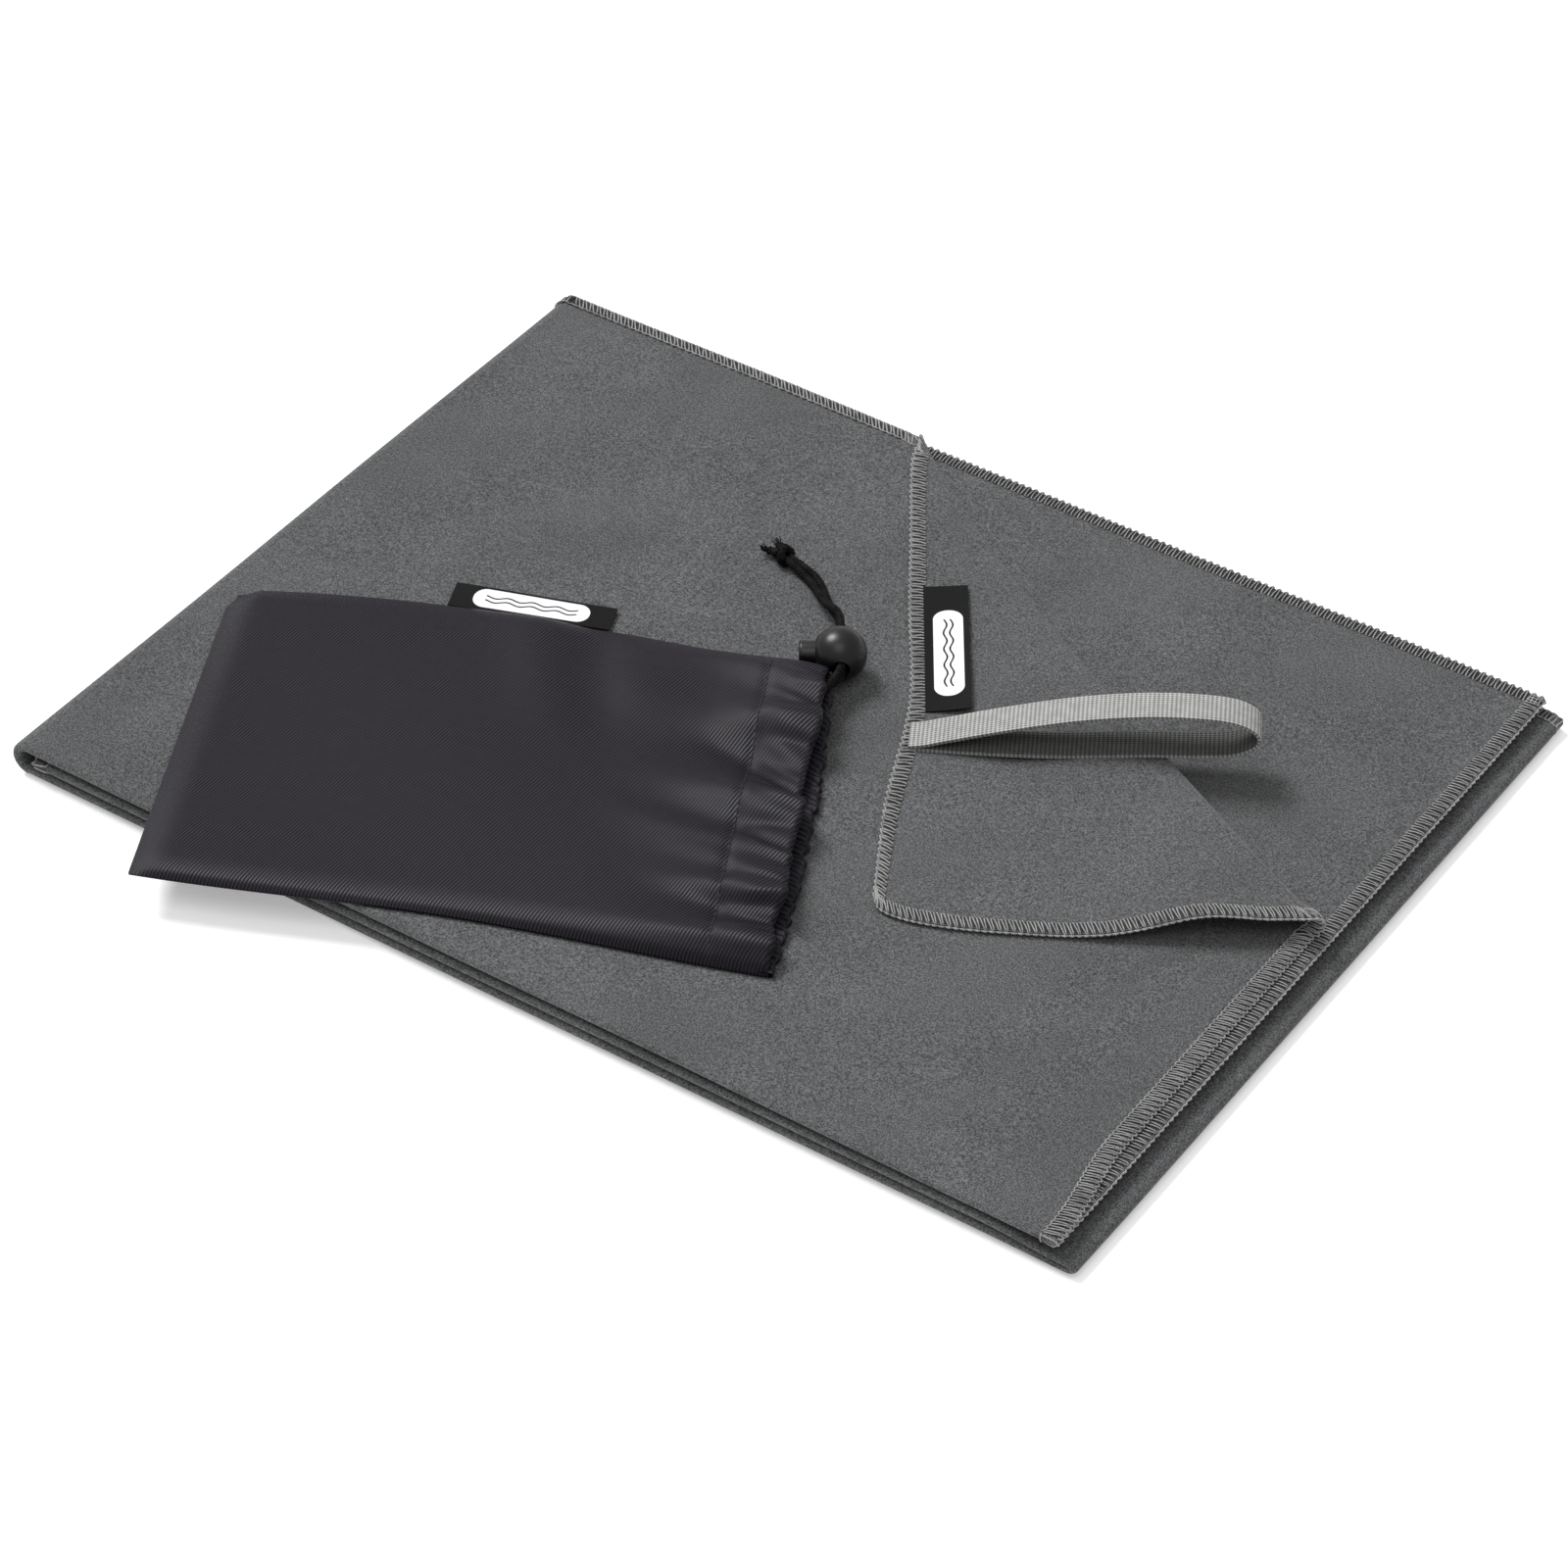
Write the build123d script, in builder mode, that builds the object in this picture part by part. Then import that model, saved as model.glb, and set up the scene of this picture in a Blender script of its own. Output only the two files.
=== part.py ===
"""Folded travel towel with a hanging loop, and its drawstring pouch lying on it. Millimetres.

The origin is the middle of the folded towel's underside. +X runs along the long side of the folded
towel, +Y to its hemmed back edge and +Z up. The cloth is folded in half lengthwise, which makes
sections of two layers joined by a rounded fold at the front, and then twice across its length: the
bottom section turns up at the right fold into the middle section, and up at the left fold into the
top section. The back right corner of the topmost layer is turned back over a roll.
"""

import os
from math import asin, atan2, cos, degrees, hypot, radians, sin

from build123d import *

# Towel, driving dimensions
PAD_LENGTH = 333.0          # folded length, a third of the 1000 mm cloth
PAD_WIDTH = 250.0           # folded width, half of the 500 mm cloth
CLOTH = 0.8                 # thickness of one layer
LAYER_PITCH = 2.2           # underside of one layer to the next, inside a section
SECTION_PITCH = 3.4         # underside of one section to the next
HEM = 5.0                   # width of the overlock hem
HEM_SKIN = 0.2              # thickness of the hem thread on each face of the squeezed edge
HEM_LIP = 0.4               # thread that stands outside the cut edge
TOP_END_INSET = 6.3         # the top section stops this far short of the right fold
MIDDLE_END_INSET = 8.0      # the middle section stops this far short of the left fold
CORNER_LEG_BACK = 197.0     # turned-back corner, measured along the back edge
CORNER_LEG_END = 116.4      # turned-back corner, measured along the end edge
ROLL_RADIUS_BACK = 0.6      # middle of the cloth in the corner's roll, at the back edge
ROLL_RADIUS_END = 3.5       # and at the end edge
ROLL_GAP = 0.3              # between the roll and the flat flap
CORNER_CUT_MARGIN = 20.0    # cuts round the turned-back corner run this far past it

# Hanging loop and label on the flap, measured along its hem from the corner's tip
LOOP_CENTRE = 64.0
LOOP_WIDTH = 10.0
LOOP_LENGTH = 91.0
LOOP_BAND = 0.8
LOOP_BASE_RADIUS = 0.9
LOOP_END_RADIUS = 5.8
LOOP_RISE = 0.2             # underside of the loop's round end above the underside of its base
LABEL_START = 75.0
LABEL_LENGTH = 54.0
LABEL_REACH = 11.5
LABEL_THICK = 0.3
REST_GAP = 0.05             # clearance between pieces that lie on each other

# Pouch, corners in plan
TAIL_FRONT = (-106.0, -149.0)
TAIL_BACK = (-157.0, -42.6)
MOUTH_FRONT = (53.5, -87.0)
MOUTH_BACK = (3.4, 15.2)
BACK_SIDE_BULGE = 9.5       # the back long side bows out by this much
PANEL = 0.5
TAIL_RISE = 0.9             # front panel's top over the back panel, at the closed end's corners
TAIL_MIDDLE_RISE = 1.5
MOUTH_FRONT_RISE = 3.6      # the same at the mouth
MOUTH_MIDDLE_RISE = 5.6
MOUTH_BACK_RISE = 10.5      # at the corner that the cord lifts
SIDE_WALL_RUN = 1.0         # side walls lean in by this much
CASING_DEPTH = 18.0         # mouth edge to the casing's stitch line
CASING_EXIT = 16.0          # length of side left open for the cord
CASING_EXIT_FROM = 0.9      # the opening is in line with the side from this share to the mouth
STITCH_LENGTH = 2.2
STITCH_THREAD = 0.3
STITCH_COUNT = 31
POUCH_LABEL_FROM = 0.345    # share of the long side, from the closed end
POUCH_LABEL_LENGTH = 46.0
POUCH_LABEL_REACH = 9.0
POUCH_LABEL_GAP = 1.0       # clears the bow of the side

# Drawcord and its lock
CORD = 2.2
CORD_PITCH = 2.5            # two strands, one over the other inside the lock
BALL_RADIUS = 7.5
BALL_CENTRE = (-0.4, 22.9)
LOCK_ANGLE = 213.76         # direction in which the plunger sticks out, from +X
BORE_RADIUS = 3.6
BORE_FLOOR = 6.2            # bottom of the bore, beyond the ball's centre
CORD_HOLE_RADIUS = 2.8
PLUNGER_RADIUS = 3.5
PLUNGER_REACH = 11.0        # end of the button, from the ball's centre
PLUNGER_TAIL = 3.4          # its inner end, beyond the ball's centre
PLUNGER_ROUNDING = 0.8
PLUNGER_TRAVEL = 2.0
SLOT_SLACK = 0.05
SPRING_RADIUS = 2.6
SPRING_WIRE = 0.4
SPRING_TURNS = 2.5
LOCK_SLIDE = 6.0            # straight run of cord behind the lock
STRAIGHT_MARGIN = 1.0       # straight cord beyond each end of the lock's slide
CORD_RUN_INSET = 9.0        # middle of the casing's two cord runs, from the mouth edge
CORD_RUN_PITCH = 6.0
CORD_TURN = 8.0             # centre of the turn between the runs, from the front corner
CORD_RISE = 22.0            # where the runs start to climb to the lock, from the back corner
TAIL_BEND = (-18.0, 43.0, 13.6)
TAIL_REST = (-28.0, 51.4, 11.2)
TAIL_TWIST = 45.0           # the strands have turned this far round each other at the bend
KNOT_CENTRE = (-40.5, 55.2)
KNOT_RADIUS = 2.9
KNOT_ENTRY = 0.7            # the strands reach this share of the radius into the knot
CORD_END_LENGTH = 5.5
CORD_END_SPREAD = 22.0      # each cut end leans this far from the line between them
CORD_ENDS_ANGLE = 160.0     # direction of that line, from +X

# Worked-out places
section_height = LAYER_PITCH + CLOTH
bottom_low = 0.0
middle_low = SECTION_PITCH
top_low = 2 * SECTION_PITCH
top_surface = top_low + section_height
back = PAD_WIDTH / 2
front = -PAD_WIDTH / 2
left_fold_z = top_surface / 2
left_fold_x = -PAD_LENGTH / 2 + left_fold_z
right_fold_z = (middle_low + section_height) / 2
right_fold_x = PAD_LENGTH / 2 - right_fold_z
top_end = PAD_LENGTH / 2 - TOP_END_INSET
middle_end = -PAD_LENGTH / 2 + MIDDLE_END_INSET
cut_edge = back - HEM_LIP

fold_length = hypot(CORNER_LEG_BACK, CORNER_LEG_END)
fold_angle = degrees(atan2(-CORNER_LEG_END, CORNER_LEG_BACK))
fold_start = Vector(top_end - CORNER_LEG_BACK, back)
fold_along = Vector(cos(radians(fold_angle)), sin(radians(fold_angle)))
fold_end = fold_start + fold_along * fold_length
corner = Vector(top_end, back)
corner_foot = fold_start + fold_along * (corner - fold_start).dot(fold_along)
tip = corner_foot * 2 - corner
sheet_middle = top_surface - CLOTH / 2
flap_low = sheet_middle + 2 * ROLL_RADIUS_BACK
flap_high = sheet_middle + 2 * ROLL_RADIUS_END
flap_tilt = asin((flap_high - flap_low) / CORNER_LEG_END)
end_leg_angle = 2 * fold_angle + 90
flap_x = Vector(
    cos(radians(end_leg_angle)) * cos(flap_tilt),
    sin(radians(end_leg_angle)) * cos(flap_tilt),
    sin(flap_tilt),
)
flap_y = Vector(-sin(radians(end_leg_angle)), cos(radians(end_leg_angle)), 0)
flap_plane = Plane(origin=(tip.X, tip.Y, flap_low), x_dir=flap_x, z_dir=flap_x.cross(flap_y))

bed = top_surface + REST_GAP
lock_out = Vector(cos(radians(LOCK_ANGLE)), sin(radians(LOCK_ANGLE)), 0)
cord_out = Vector(lock_out.Y, -lock_out.X, 0)
ball_centre = Vector(BALL_CENTRE[0], BALL_CENTRE[1], bed + BALL_RADIUS)


def draw_section(low, squeeze, y_end):
    """Two layers joined by the rounded front fold, seen along X; squeeze thins them on both faces."""
    centre_z = low + section_height / 2
    centre_y = front + section_height / 2
    outer = section_height / 2 - squeeze
    inner = section_height / 2 - CLOTH + squeeze
    with BuildLine() as outline:
        Line((y_end, centre_z + outer), (centre_y, centre_z + outer))
        ThreePointArc(
            (centre_y, centre_z + outer), (centre_y - outer, centre_z), (centre_y, centre_z - outer)
        )
        Line((centre_y, centre_z - outer), (y_end, centre_z - outer))
        Line((y_end, centre_z - outer), (y_end, centre_z - inner))
        Line((y_end, centre_z - inner), (centre_y, centre_z - inner))
        ThreePointArc(
            (centre_y, centre_z - inner), (centre_y - inner, centre_z), (centre_y, centre_z + inner)
        )
        Line((centre_y, centre_z + inner), (y_end, centre_z + inner))
        Line((y_end, centre_z + inner), (y_end, centre_z + outer))
    make_face(outline.edges())


def draw_cloth(low):
    """A section with its back margin squeezed thin for the hem."""
    draw_section(low, 0, back - HEM)
    draw_section(low, HEM_SKIN, cut_edge)


def draw_side_hems(low):
    """Thread wrapped round the back edges of a section's two layers, seen along X."""
    for layer_low in (low, low + LAYER_PITCH):
        with Locations((back - HEM, layer_low)):
            Rectangle(HEM, CLOTH, align=(Align.MIN, Align.MIN))
        with Locations((back - HEM, layer_low + HEM_SKIN)):
            core_height = CLOTH - 2 * HEM_SKIN
            Rectangle(
                HEM - HEM_LIP, core_height, align=(Align.MIN, Align.MIN), mode=Mode.SUBTRACT
            )


def cut_corner():
    """Takes the turned-back corner out of the topmost layer of the part being built."""
    cut_low = top_low + section_height / 2
    cut_plane = Plane(
        origin=(fold_start.X, fold_start.Y, cut_low),
        x_dir=(fold_along.X, fold_along.Y, 0),
        z_dir=(0, 0, 1),
    )
    cut_length = fold_length + 2 * CORNER_CUT_MARGIN
    with BuildSketch(cut_plane) as beyond_fold:
        with Locations((-CORNER_CUT_MARGIN, 0)):
            Rectangle(cut_length, CORNER_LEG_BACK, align=(Align.MIN, Align.MIN))
    extrude(beyond_fold.sketch, amount=section_height, mode=Mode.SUBTRACT)


left_fold_axis = Axis((left_fold_x, 0, left_fold_z), (0, -1, 0))
right_fold_axis = Axis((right_fold_x, 0, right_fold_z), (0, -1, 0))

# Bottom and middle sections with the right fold between them
with BuildPart() as base_cloth:
    with BuildSketch(Plane.YZ.offset(left_fold_x)):
        draw_cloth(bottom_low)
    extrude(amount=right_fold_x - left_fold_x)
    with BuildSketch(Plane.YZ.offset(right_fold_x)):
        draw_cloth(bottom_low)
    revolve(axis=right_fold_axis, revolution_arc=180)
    with BuildSketch(Plane.YZ.offset(middle_end + HEM)):
        draw_cloth(middle_low)
    extrude(amount=right_fold_x - middle_end - HEM)
    with BuildSketch(Plane.YZ.offset(middle_end + HEM_LIP)):
        draw_section(middle_low, HEM_SKIN, cut_edge)
    extrude(amount=HEM - HEM_LIP)

with BuildPart() as base_side_hem:
    with BuildSketch(Plane.YZ.offset(left_fold_x)):
        draw_side_hems(bottom_low)
    extrude(amount=right_fold_x - left_fold_x)
    with BuildSketch(Plane.YZ.offset(right_fold_x)):
        draw_side_hems(bottom_low)
    revolve(axis=right_fold_axis, revolution_arc=180)
    with BuildSketch(Plane.YZ.offset(middle_end + HEM)):
        draw_side_hems(middle_low)
    extrude(amount=right_fold_x - middle_end - HEM)

with BuildPart() as middle_end_hem:
    with BuildSketch(Plane.YZ.offset(middle_end)):
        draw_section(middle_low, 0, back)
    extrude(amount=HEM)
    with BuildSketch(Plane.YZ.offset(middle_end + HEM_LIP)):
        draw_section(middle_low, HEM_SKIN, cut_edge)
    extrude(amount=HEM - HEM_LIP, mode=Mode.SUBTRACT)

# Left fold, from the bottom section up to the top section
with BuildPart() as left_fold_cloth:
    with BuildSketch(Plane.YZ.offset(left_fold_x)):
        draw_cloth(top_low)
    revolve(axis=left_fold_axis, revolution_arc=180)

with BuildPart() as left_fold_hem:
    with BuildSketch(Plane.YZ.offset(left_fold_x)):
        draw_side_hems(top_low)
    revolve(axis=left_fold_axis, revolution_arc=180)

# Top section
with BuildPart() as top_cloth:
    with BuildSketch(Plane.YZ.offset(left_fold_x)):
        draw_cloth(top_low)
    extrude(amount=top_end - HEM - left_fold_x)
    with BuildSketch(Plane.YZ.offset(top_end - HEM)):
        draw_section(top_low, HEM_SKIN, cut_edge)
    extrude(amount=HEM - HEM_LIP)
    cut_corner()

with BuildPart() as top_side_hem:
    with BuildSketch(Plane.YZ.offset(left_fold_x)):
        draw_side_hems(top_low)
    extrude(amount=top_end - HEM - left_fold_x)
    cut_corner()

with BuildPart() as top_end_hem:
    with BuildSketch(Plane.YZ.offset(top_end - HEM)):
        draw_section(top_low, 0, back)
    extrude(amount=HEM)
    with BuildSketch(Plane.YZ.offset(top_end - HEM)):
        draw_section(top_low, HEM_SKIN, cut_edge)
    extrude(amount=HEM - HEM_LIP, mode=Mode.SUBTRACT)
    cut_corner()


# Roll of cloth under the turned-back corner: a half tube that widens towards the end edge
def roll_station(point, radius):
    """Upright plane across the fold line, with its origin in the middle of the roll."""
    return Plane(
        origin=(point.X, point.Y, sheet_middle + radius),
        x_dir=(-fold_along.Y, fold_along.X, 0),
        z_dir=(fold_along.X, fold_along.Y, 0),
    )


def draw_half_tube(radius):
    outer = radius + CLOTH / 2
    inner = radius - CLOTH / 2
    with BuildLine() as outline:
        ThreePointArc((0, -outer), (outer, 0), (0, outer))
        Line((0, outer), (0, inner))
        ThreePointArc((0, inner), (inner, 0), (0, -inner))
        Line((0, -inner), (0, -outer))
    make_face(outline.edges())


with BuildPart() as corner_roll:
    with BuildSketch(roll_station(fold_start, ROLL_RADIUS_BACK)):
        draw_half_tube(ROLL_RADIUS_BACK)
    with BuildSketch(roll_station(fold_end, ROLL_RADIUS_END)):
        draw_half_tube(ROLL_RADIUS_END)
    loft()
    # the roll stops at the back edge and at the end edge, as the flat layers do
    with BuildSketch(Plane.XY):
        with Locations((top_end - CORNER_LEG_BACK, front)):
            Rectangle(CORNER_LEG_BACK, PAD_WIDTH, align=(Align.MIN, Align.MIN))
    roll_top = sheet_middle + 2 * ROLL_RADIUS_END + CLOTH / 2
    extrude(amount=roll_top + CORNER_CUT_MARGIN, mode=Mode.INTERSECT)


# Turned-back corner, flat in its own tilted plane: x along the end edge, y along the back edge
def draw_flap(inset, gap):
    """Triangle with its right angle at the tip, inset from both hems, clear of the roll by gap."""
    shrink = 1 - gap * fold_length / (CORNER_LEG_BACK * CORNER_LEG_END)
    end_leg = CORNER_LEG_END * shrink
    back_leg = CORNER_LEG_BACK * shrink
    with BuildLine() as outline:
        Polyline(
            (inset, inset),
            (end_leg - inset * end_leg / back_leg, inset),
            (inset, back_leg - inset * back_leg / end_leg),
            close=True,
        )
    make_face(outline.edges())


with BuildPart() as flap_cloth:
    with BuildSketch(flap_plane):
        draw_flap(HEM, ROLL_GAP)
    extrude(amount=CLOTH / 2, both=True)
    with BuildSketch(flap_plane):
        draw_flap(HEM_LIP, ROLL_GAP)
    extrude(amount=CLOTH / 2 - HEM_SKIN, both=True)

with BuildPart() as flap_hem:
    with BuildSketch(flap_plane):
        draw_flap(0, ROLL_GAP)
    extrude(amount=CLOTH / 2, both=True)
    with BuildSketch(flap_plane):
        draw_flap(HEM, 0)
    extrude(amount=CLOTH / 2, both=True, mode=Mode.SUBTRACT)
    with BuildSketch(flap_plane):
        draw_flap(HEM_LIP, 0)
    extrude(amount=CLOTH / 2 - HEM_SKIN, both=True, mode=Mode.SUBTRACT)

# Hanging loop: an elastic band that leaves the hem, turns over and comes back to it
flap_face = CLOTH / 2 + REST_GAP
loop_base_z = flap_face + LOOP_BASE_RADIUS
loop_base_x = HEM + REST_GAP + LOOP_BASE_RADIUS
loop_end_x = HEM + LOOP_LENGTH - LOOP_END_RADIUS
loop_end_z = flap_face + LOOP_RISE + LOOP_END_RADIUS
loop_side = Plane(
    origin=flap_plane.from_local_coords((0, LOOP_CENTRE, 0)),
    x_dir=flap_plane.x_dir,
    z_dir=-flap_plane.y_dir,
)

with BuildPart() as hanging_loop:
    with BuildSketch(loop_side):
        with Locations((loop_base_x, loop_base_z)):
            Circle(LOOP_BASE_RADIUS)
        with Locations((loop_end_x, loop_end_z)):
            Circle(LOOP_END_RADIUS)
        make_hull()
    extrude(amount=LOOP_WIDTH / 2, both=True)
    with BuildSketch(loop_side):
        with Locations((loop_base_x, loop_base_z)):
            Circle(LOOP_BASE_RADIUS - LOOP_BAND)
        with Locations((loop_end_x, loop_end_z)):
            Circle(LOOP_END_RADIUS - LOOP_BAND)
        make_hull()
    extrude(amount=LOOP_WIDTH / 2, both=True, mode=Mode.SUBTRACT)

with BuildPart() as towel_label:
    with BuildSketch(flap_plane.offset(flap_face)):
        with Locations((HEM, LABEL_START)):
            Rectangle(LABEL_REACH, LABEL_LENGTH, align=(Align.MIN, Align.MIN))
    extrude(amount=LABEL_THICK)


# Pouch: a flat back panel and an arched front panel that rises to an open mouth
pouch_length = hypot(MOUTH_FRONT[0] - TAIL_FRONT[0], MOUTH_FRONT[1] - TAIL_FRONT[1])


def side_points(share):
    """Places of the front and back long sides, at a share of the way from closed end to mouth."""
    front_side = Vector(*TAIL_FRONT, bed) * (1 - share) + Vector(*MOUTH_FRONT, bed) * share
    back_side = Vector(*TAIL_BACK, bed) * (1 - share) + Vector(*MOUTH_BACK, bed) * share
    along = (Vector(*MOUTH_BACK) - Vector(*TAIL_BACK)).normalized()
    bow = BACK_SIDE_BULGE * 4 * share * (1 - share)
    return front_side, back_side + Vector(-along.Y, along.X) * bow


def pouch_station(share):
    """Upright plane across the pouch: x from its middle towards the back side, y up from the bed."""
    front_side, back_side = side_points(share)
    across = (back_side - front_side).normalized()
    return Plane(
        origin=(front_side + back_side) / 2, x_dir=across, z_dir=across.cross(Vector(0, 0, 1))
    )


def arch_points(share, lift):
    """Front, middle and back points of the front panel's top at a station, raised by lift."""
    front_side, back_side = side_points(share)
    half_top = (back_side - front_side).length / 2 - SIDE_WALL_RUN
    rises = (
        (TAIL_RISE, MOUTH_FRONT_RISE),
        (TAIL_MIDDLE_RISE, MOUTH_MIDDLE_RISE),
        (TAIL_RISE, MOUTH_BACK_RISE),
    )
    heights = [PANEL + lift + tail * (1 - share) + mouth * share for tail, mouth in rises]
    return (-half_top, heights[0]), (0, heights[1]), (half_top, heights[2])


def draw_arch(share, drop):
    """The front panel's outline at a station; drop makes it that much lower and narrower."""
    front_top, middle_top, back_top = arch_points(share, -drop)
    front_top = (front_top[0] + drop, front_top[1])
    back_top = (back_top[0] - drop, back_top[1])
    front_foot = (front_top[0] - SIDE_WALL_RUN, PANEL)
    back_foot = (back_top[0] + SIDE_WALL_RUN, PANEL)
    with BuildLine() as outline:
        Line(front_foot, front_top)
        ThreePointArc(front_top, middle_top, back_top)
        Line(back_top, back_foot)
        Line(back_foot, front_foot)
    make_face(outline.edges())


with BuildPart() as pouch_back_panel:
    with BuildSketch(Plane.XY.offset(bed)):
        with BuildLine():
            Polyline(TAIL_BACK, TAIL_FRONT, MOUTH_FRONT, MOUTH_BACK)
            bowed_side = side_points(0.5)[1]
            ThreePointArc(TAIL_BACK, (bowed_side.X, bowed_side.Y), MOUTH_BACK)
        make_face()
    extrude(amount=PANEL)

end_wall = PANEL / pouch_length
with BuildPart() as pouch_front_panel:
    for station in (0, 0.5, 1):
        with BuildSketch(pouch_station(station)):
            draw_arch(station, 0)
    loft()
    for station in (end_wall, 0.5, 1):
        with BuildSketch(pouch_station(station)):
            draw_arch(station, PANEL)
    loft(mode=Mode.SUBTRACT)
    # the casing's end is left open at the lifted corner, where the cord comes out
    back_corner = side_points(1)[1]
    exit_plane = Plane(
        origin=(back_corner.X, back_corner.Y, bed + PANEL),
        x_dir=back_corner - side_points(CASING_EXIT_FROM)[1],
        z_dir=(0, 0, 1),
    )
    with BuildSketch(exit_plane):
        Rectangle(2 * CASING_EXIT, 2 * (SIDE_WALL_RUN + PANEL))
    extrude(amount=MOUTH_BACK_RISE - PANEL, mode=Mode.SUBTRACT)

# Lockstitch across the casing, lying on the front panel
stitch_share = 1 - CASING_DEPTH / pouch_length
with BuildLine(pouch_station(stitch_share)) as stitch_line:
    ThreePointArc(*arch_points(stitch_share, STITCH_THREAD))

with BuildPart() as casing_stitching:
    for number in range(STITCH_COUNT):
        place = (number + 0.5) / STITCH_COUNT
        stitch_along = stitch_line.line % place
        sideways = pouch_station(stitch_share).z_dir
        stitch_plane = Plane(
            origin=stitch_line.line @ place, x_dir=stitch_along, z_dir=stitch_along.cross(sideways)
        )
        with Locations(stitch_plane):
            Box(STITCH_LENGTH, STITCH_THREAD, STITCH_THREAD)

with BuildPart() as pouch_label:
    label_start = side_points(POUCH_LABEL_FROM)[1]
    label_end = side_points(POUCH_LABEL_FROM + POUCH_LABEL_LENGTH / pouch_length)[1]
    label_plane = Plane(
        origin=(label_start.X, label_start.Y, bed), x_dir=label_end - label_start, z_dir=(0, 0, 1)
    )
    with BuildSketch(label_plane):
        with Locations((0, POUCH_LABEL_GAP)):
            Rectangle(POUCH_LABEL_LENGTH, POUCH_LABEL_REACH, align=(Align.MIN, Align.MIN))
    extrude(amount=LABEL_THICK)

# Cord lock: a ball with a blind bore for the plunger, and a cord hole across both
lock_plane = Plane(origin=ball_centre, x_dir=lock_out, z_dir=(0, 0, 1))
cord_hole_plane = Plane(origin=ball_centre, x_dir=lock_out, z_dir=-cord_out)

with BuildPart(lock_plane) as cord_lock_ball:
    Sphere(BALL_RADIUS)
    with BuildSketch(Plane(origin=ball_centre - lock_out * BORE_FLOOR, z_dir=lock_out)):
        Circle(BORE_RADIUS)
    extrude(amount=BORE_FLOOR + BALL_RADIUS, mode=Mode.SUBTRACT)
    with BuildSketch(cord_hole_plane):
        Circle(CORD_HOLE_RADIUS)
    extrude(amount=BALL_RADIUS, both=True, mode=Mode.SUBTRACT)

slot_low = -(CORD / 2 + SLOT_SLACK)
slot_high = CORD / 2 + SLOT_SLACK + PLUNGER_TRAVEL
slot_height = CORD + CORD_PITCH + 2 * SLOT_SLACK

with BuildPart() as cord_lock_plunger:
    with BuildSketch(Plane(origin=ball_centre - lock_out * PLUNGER_TAIL, z_dir=lock_out)):
        Circle(PLUNGER_RADIUS)
    extrude(amount=PLUNGER_TAIL + PLUNGER_REACH)
    button_face = cord_lock_plunger.faces().sort_by(Axis(ball_centre, lock_out))[-1]
    fillet(button_face.edges(), PLUNGER_ROUNDING)
    with BuildSketch(cord_hole_plane):
        with Locations(((slot_low + slot_high) / 2, 0)):
            Rectangle(slot_high - slot_low, slot_height)
    extrude(amount=BALL_RADIUS, both=True, mode=Mode.SUBTRACT)

spring_length = BORE_FLOOR - PLUNGER_TAIL - SPRING_WIRE - 2 * REST_GAP
spring_start = BORE_FLOOR - REST_GAP - SPRING_WIRE / 2
with BuildPart() as cord_lock_spring:
    with BuildLine() as coil:
        Helix(
            spring_length / SPRING_TURNS,
            spring_length,
            SPRING_RADIUS,
            center=ball_centre - lock_out * spring_start,
            direction=lock_out,
        )
    with BuildSketch(Plane(origin=coil.line @ 0, z_dir=coil.line % 0)):
        Circle(SPRING_WIRE / 2)
    sweep()

# Drawcord: out of the knot, through the lock, round the casing and back through the lock
knot_centre = Vector(KNOT_CENTRE[0], KNOT_CENTRE[1], bed + KNOT_RADIUS)
mouth_edge = (Vector(*MOUTH_BACK) - Vector(*MOUTH_FRONT)).normalized()
mouth_inward = Vector(-mouth_edge.Y, mouth_edge.X)
run_z = bed + PANEL + REST_GAP + CORD / 2
run_end = (Vector(*MOUTH_BACK) - Vector(*MOUTH_FRONT)).length - CORD_RISE


def casing_point(distance, inset):
    """Place inside the casing, from the mouth's front corner and in from its edge."""
    place = Vector(*MOUTH_FRONT) + mouth_edge * distance + mouth_inward * inset
    return Vector(place.X, place.Y, run_z)


def draw_strand(side):
    """One of the two strands from the casing to the knot: side is 1 for the upper one, -1 below."""
    up = Vector(0, 0, side * CORD_PITCH / 2)
    lock_in = ball_centre - cord_out * (BALL_RADIUS + STRAIGHT_MARGIN) + up
    lock_exit = ball_centre + cord_out * (BALL_RADIUS + LOCK_SLIDE + STRAIGHT_MARGIN) + up
    run_start = casing_point(run_end, CORD_RUN_INSET - side * CORD_RUN_PITCH / 2)
    bend, rest = Vector(*TAIL_BEND), Vector(*TAIL_REST)
    to_knot = (knot_centre - rest).normalized()
    aside = Vector(to_knot.Y, -to_knot.X).normalized() * (side * -CORD_PITCH / 2)
    Line(casing_point(CORD_TURN, CORD_RUN_INSET - side * CORD_RUN_PITCH / 2), run_start)
    Spline(run_start, lock_in, tangents=(mouth_edge, cord_out))
    Line(lock_in, lock_exit)
    half_twist = (aside + up) * sin(radians(TAIL_TWIST))
    knot_entry = knot_centre - to_knot * (KNOT_RADIUS * KNOT_ENTRY) + aside
    Spline(lock_exit, bend + half_twist, rest + aside, knot_entry, tangents=(cord_out, to_knot))


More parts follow.
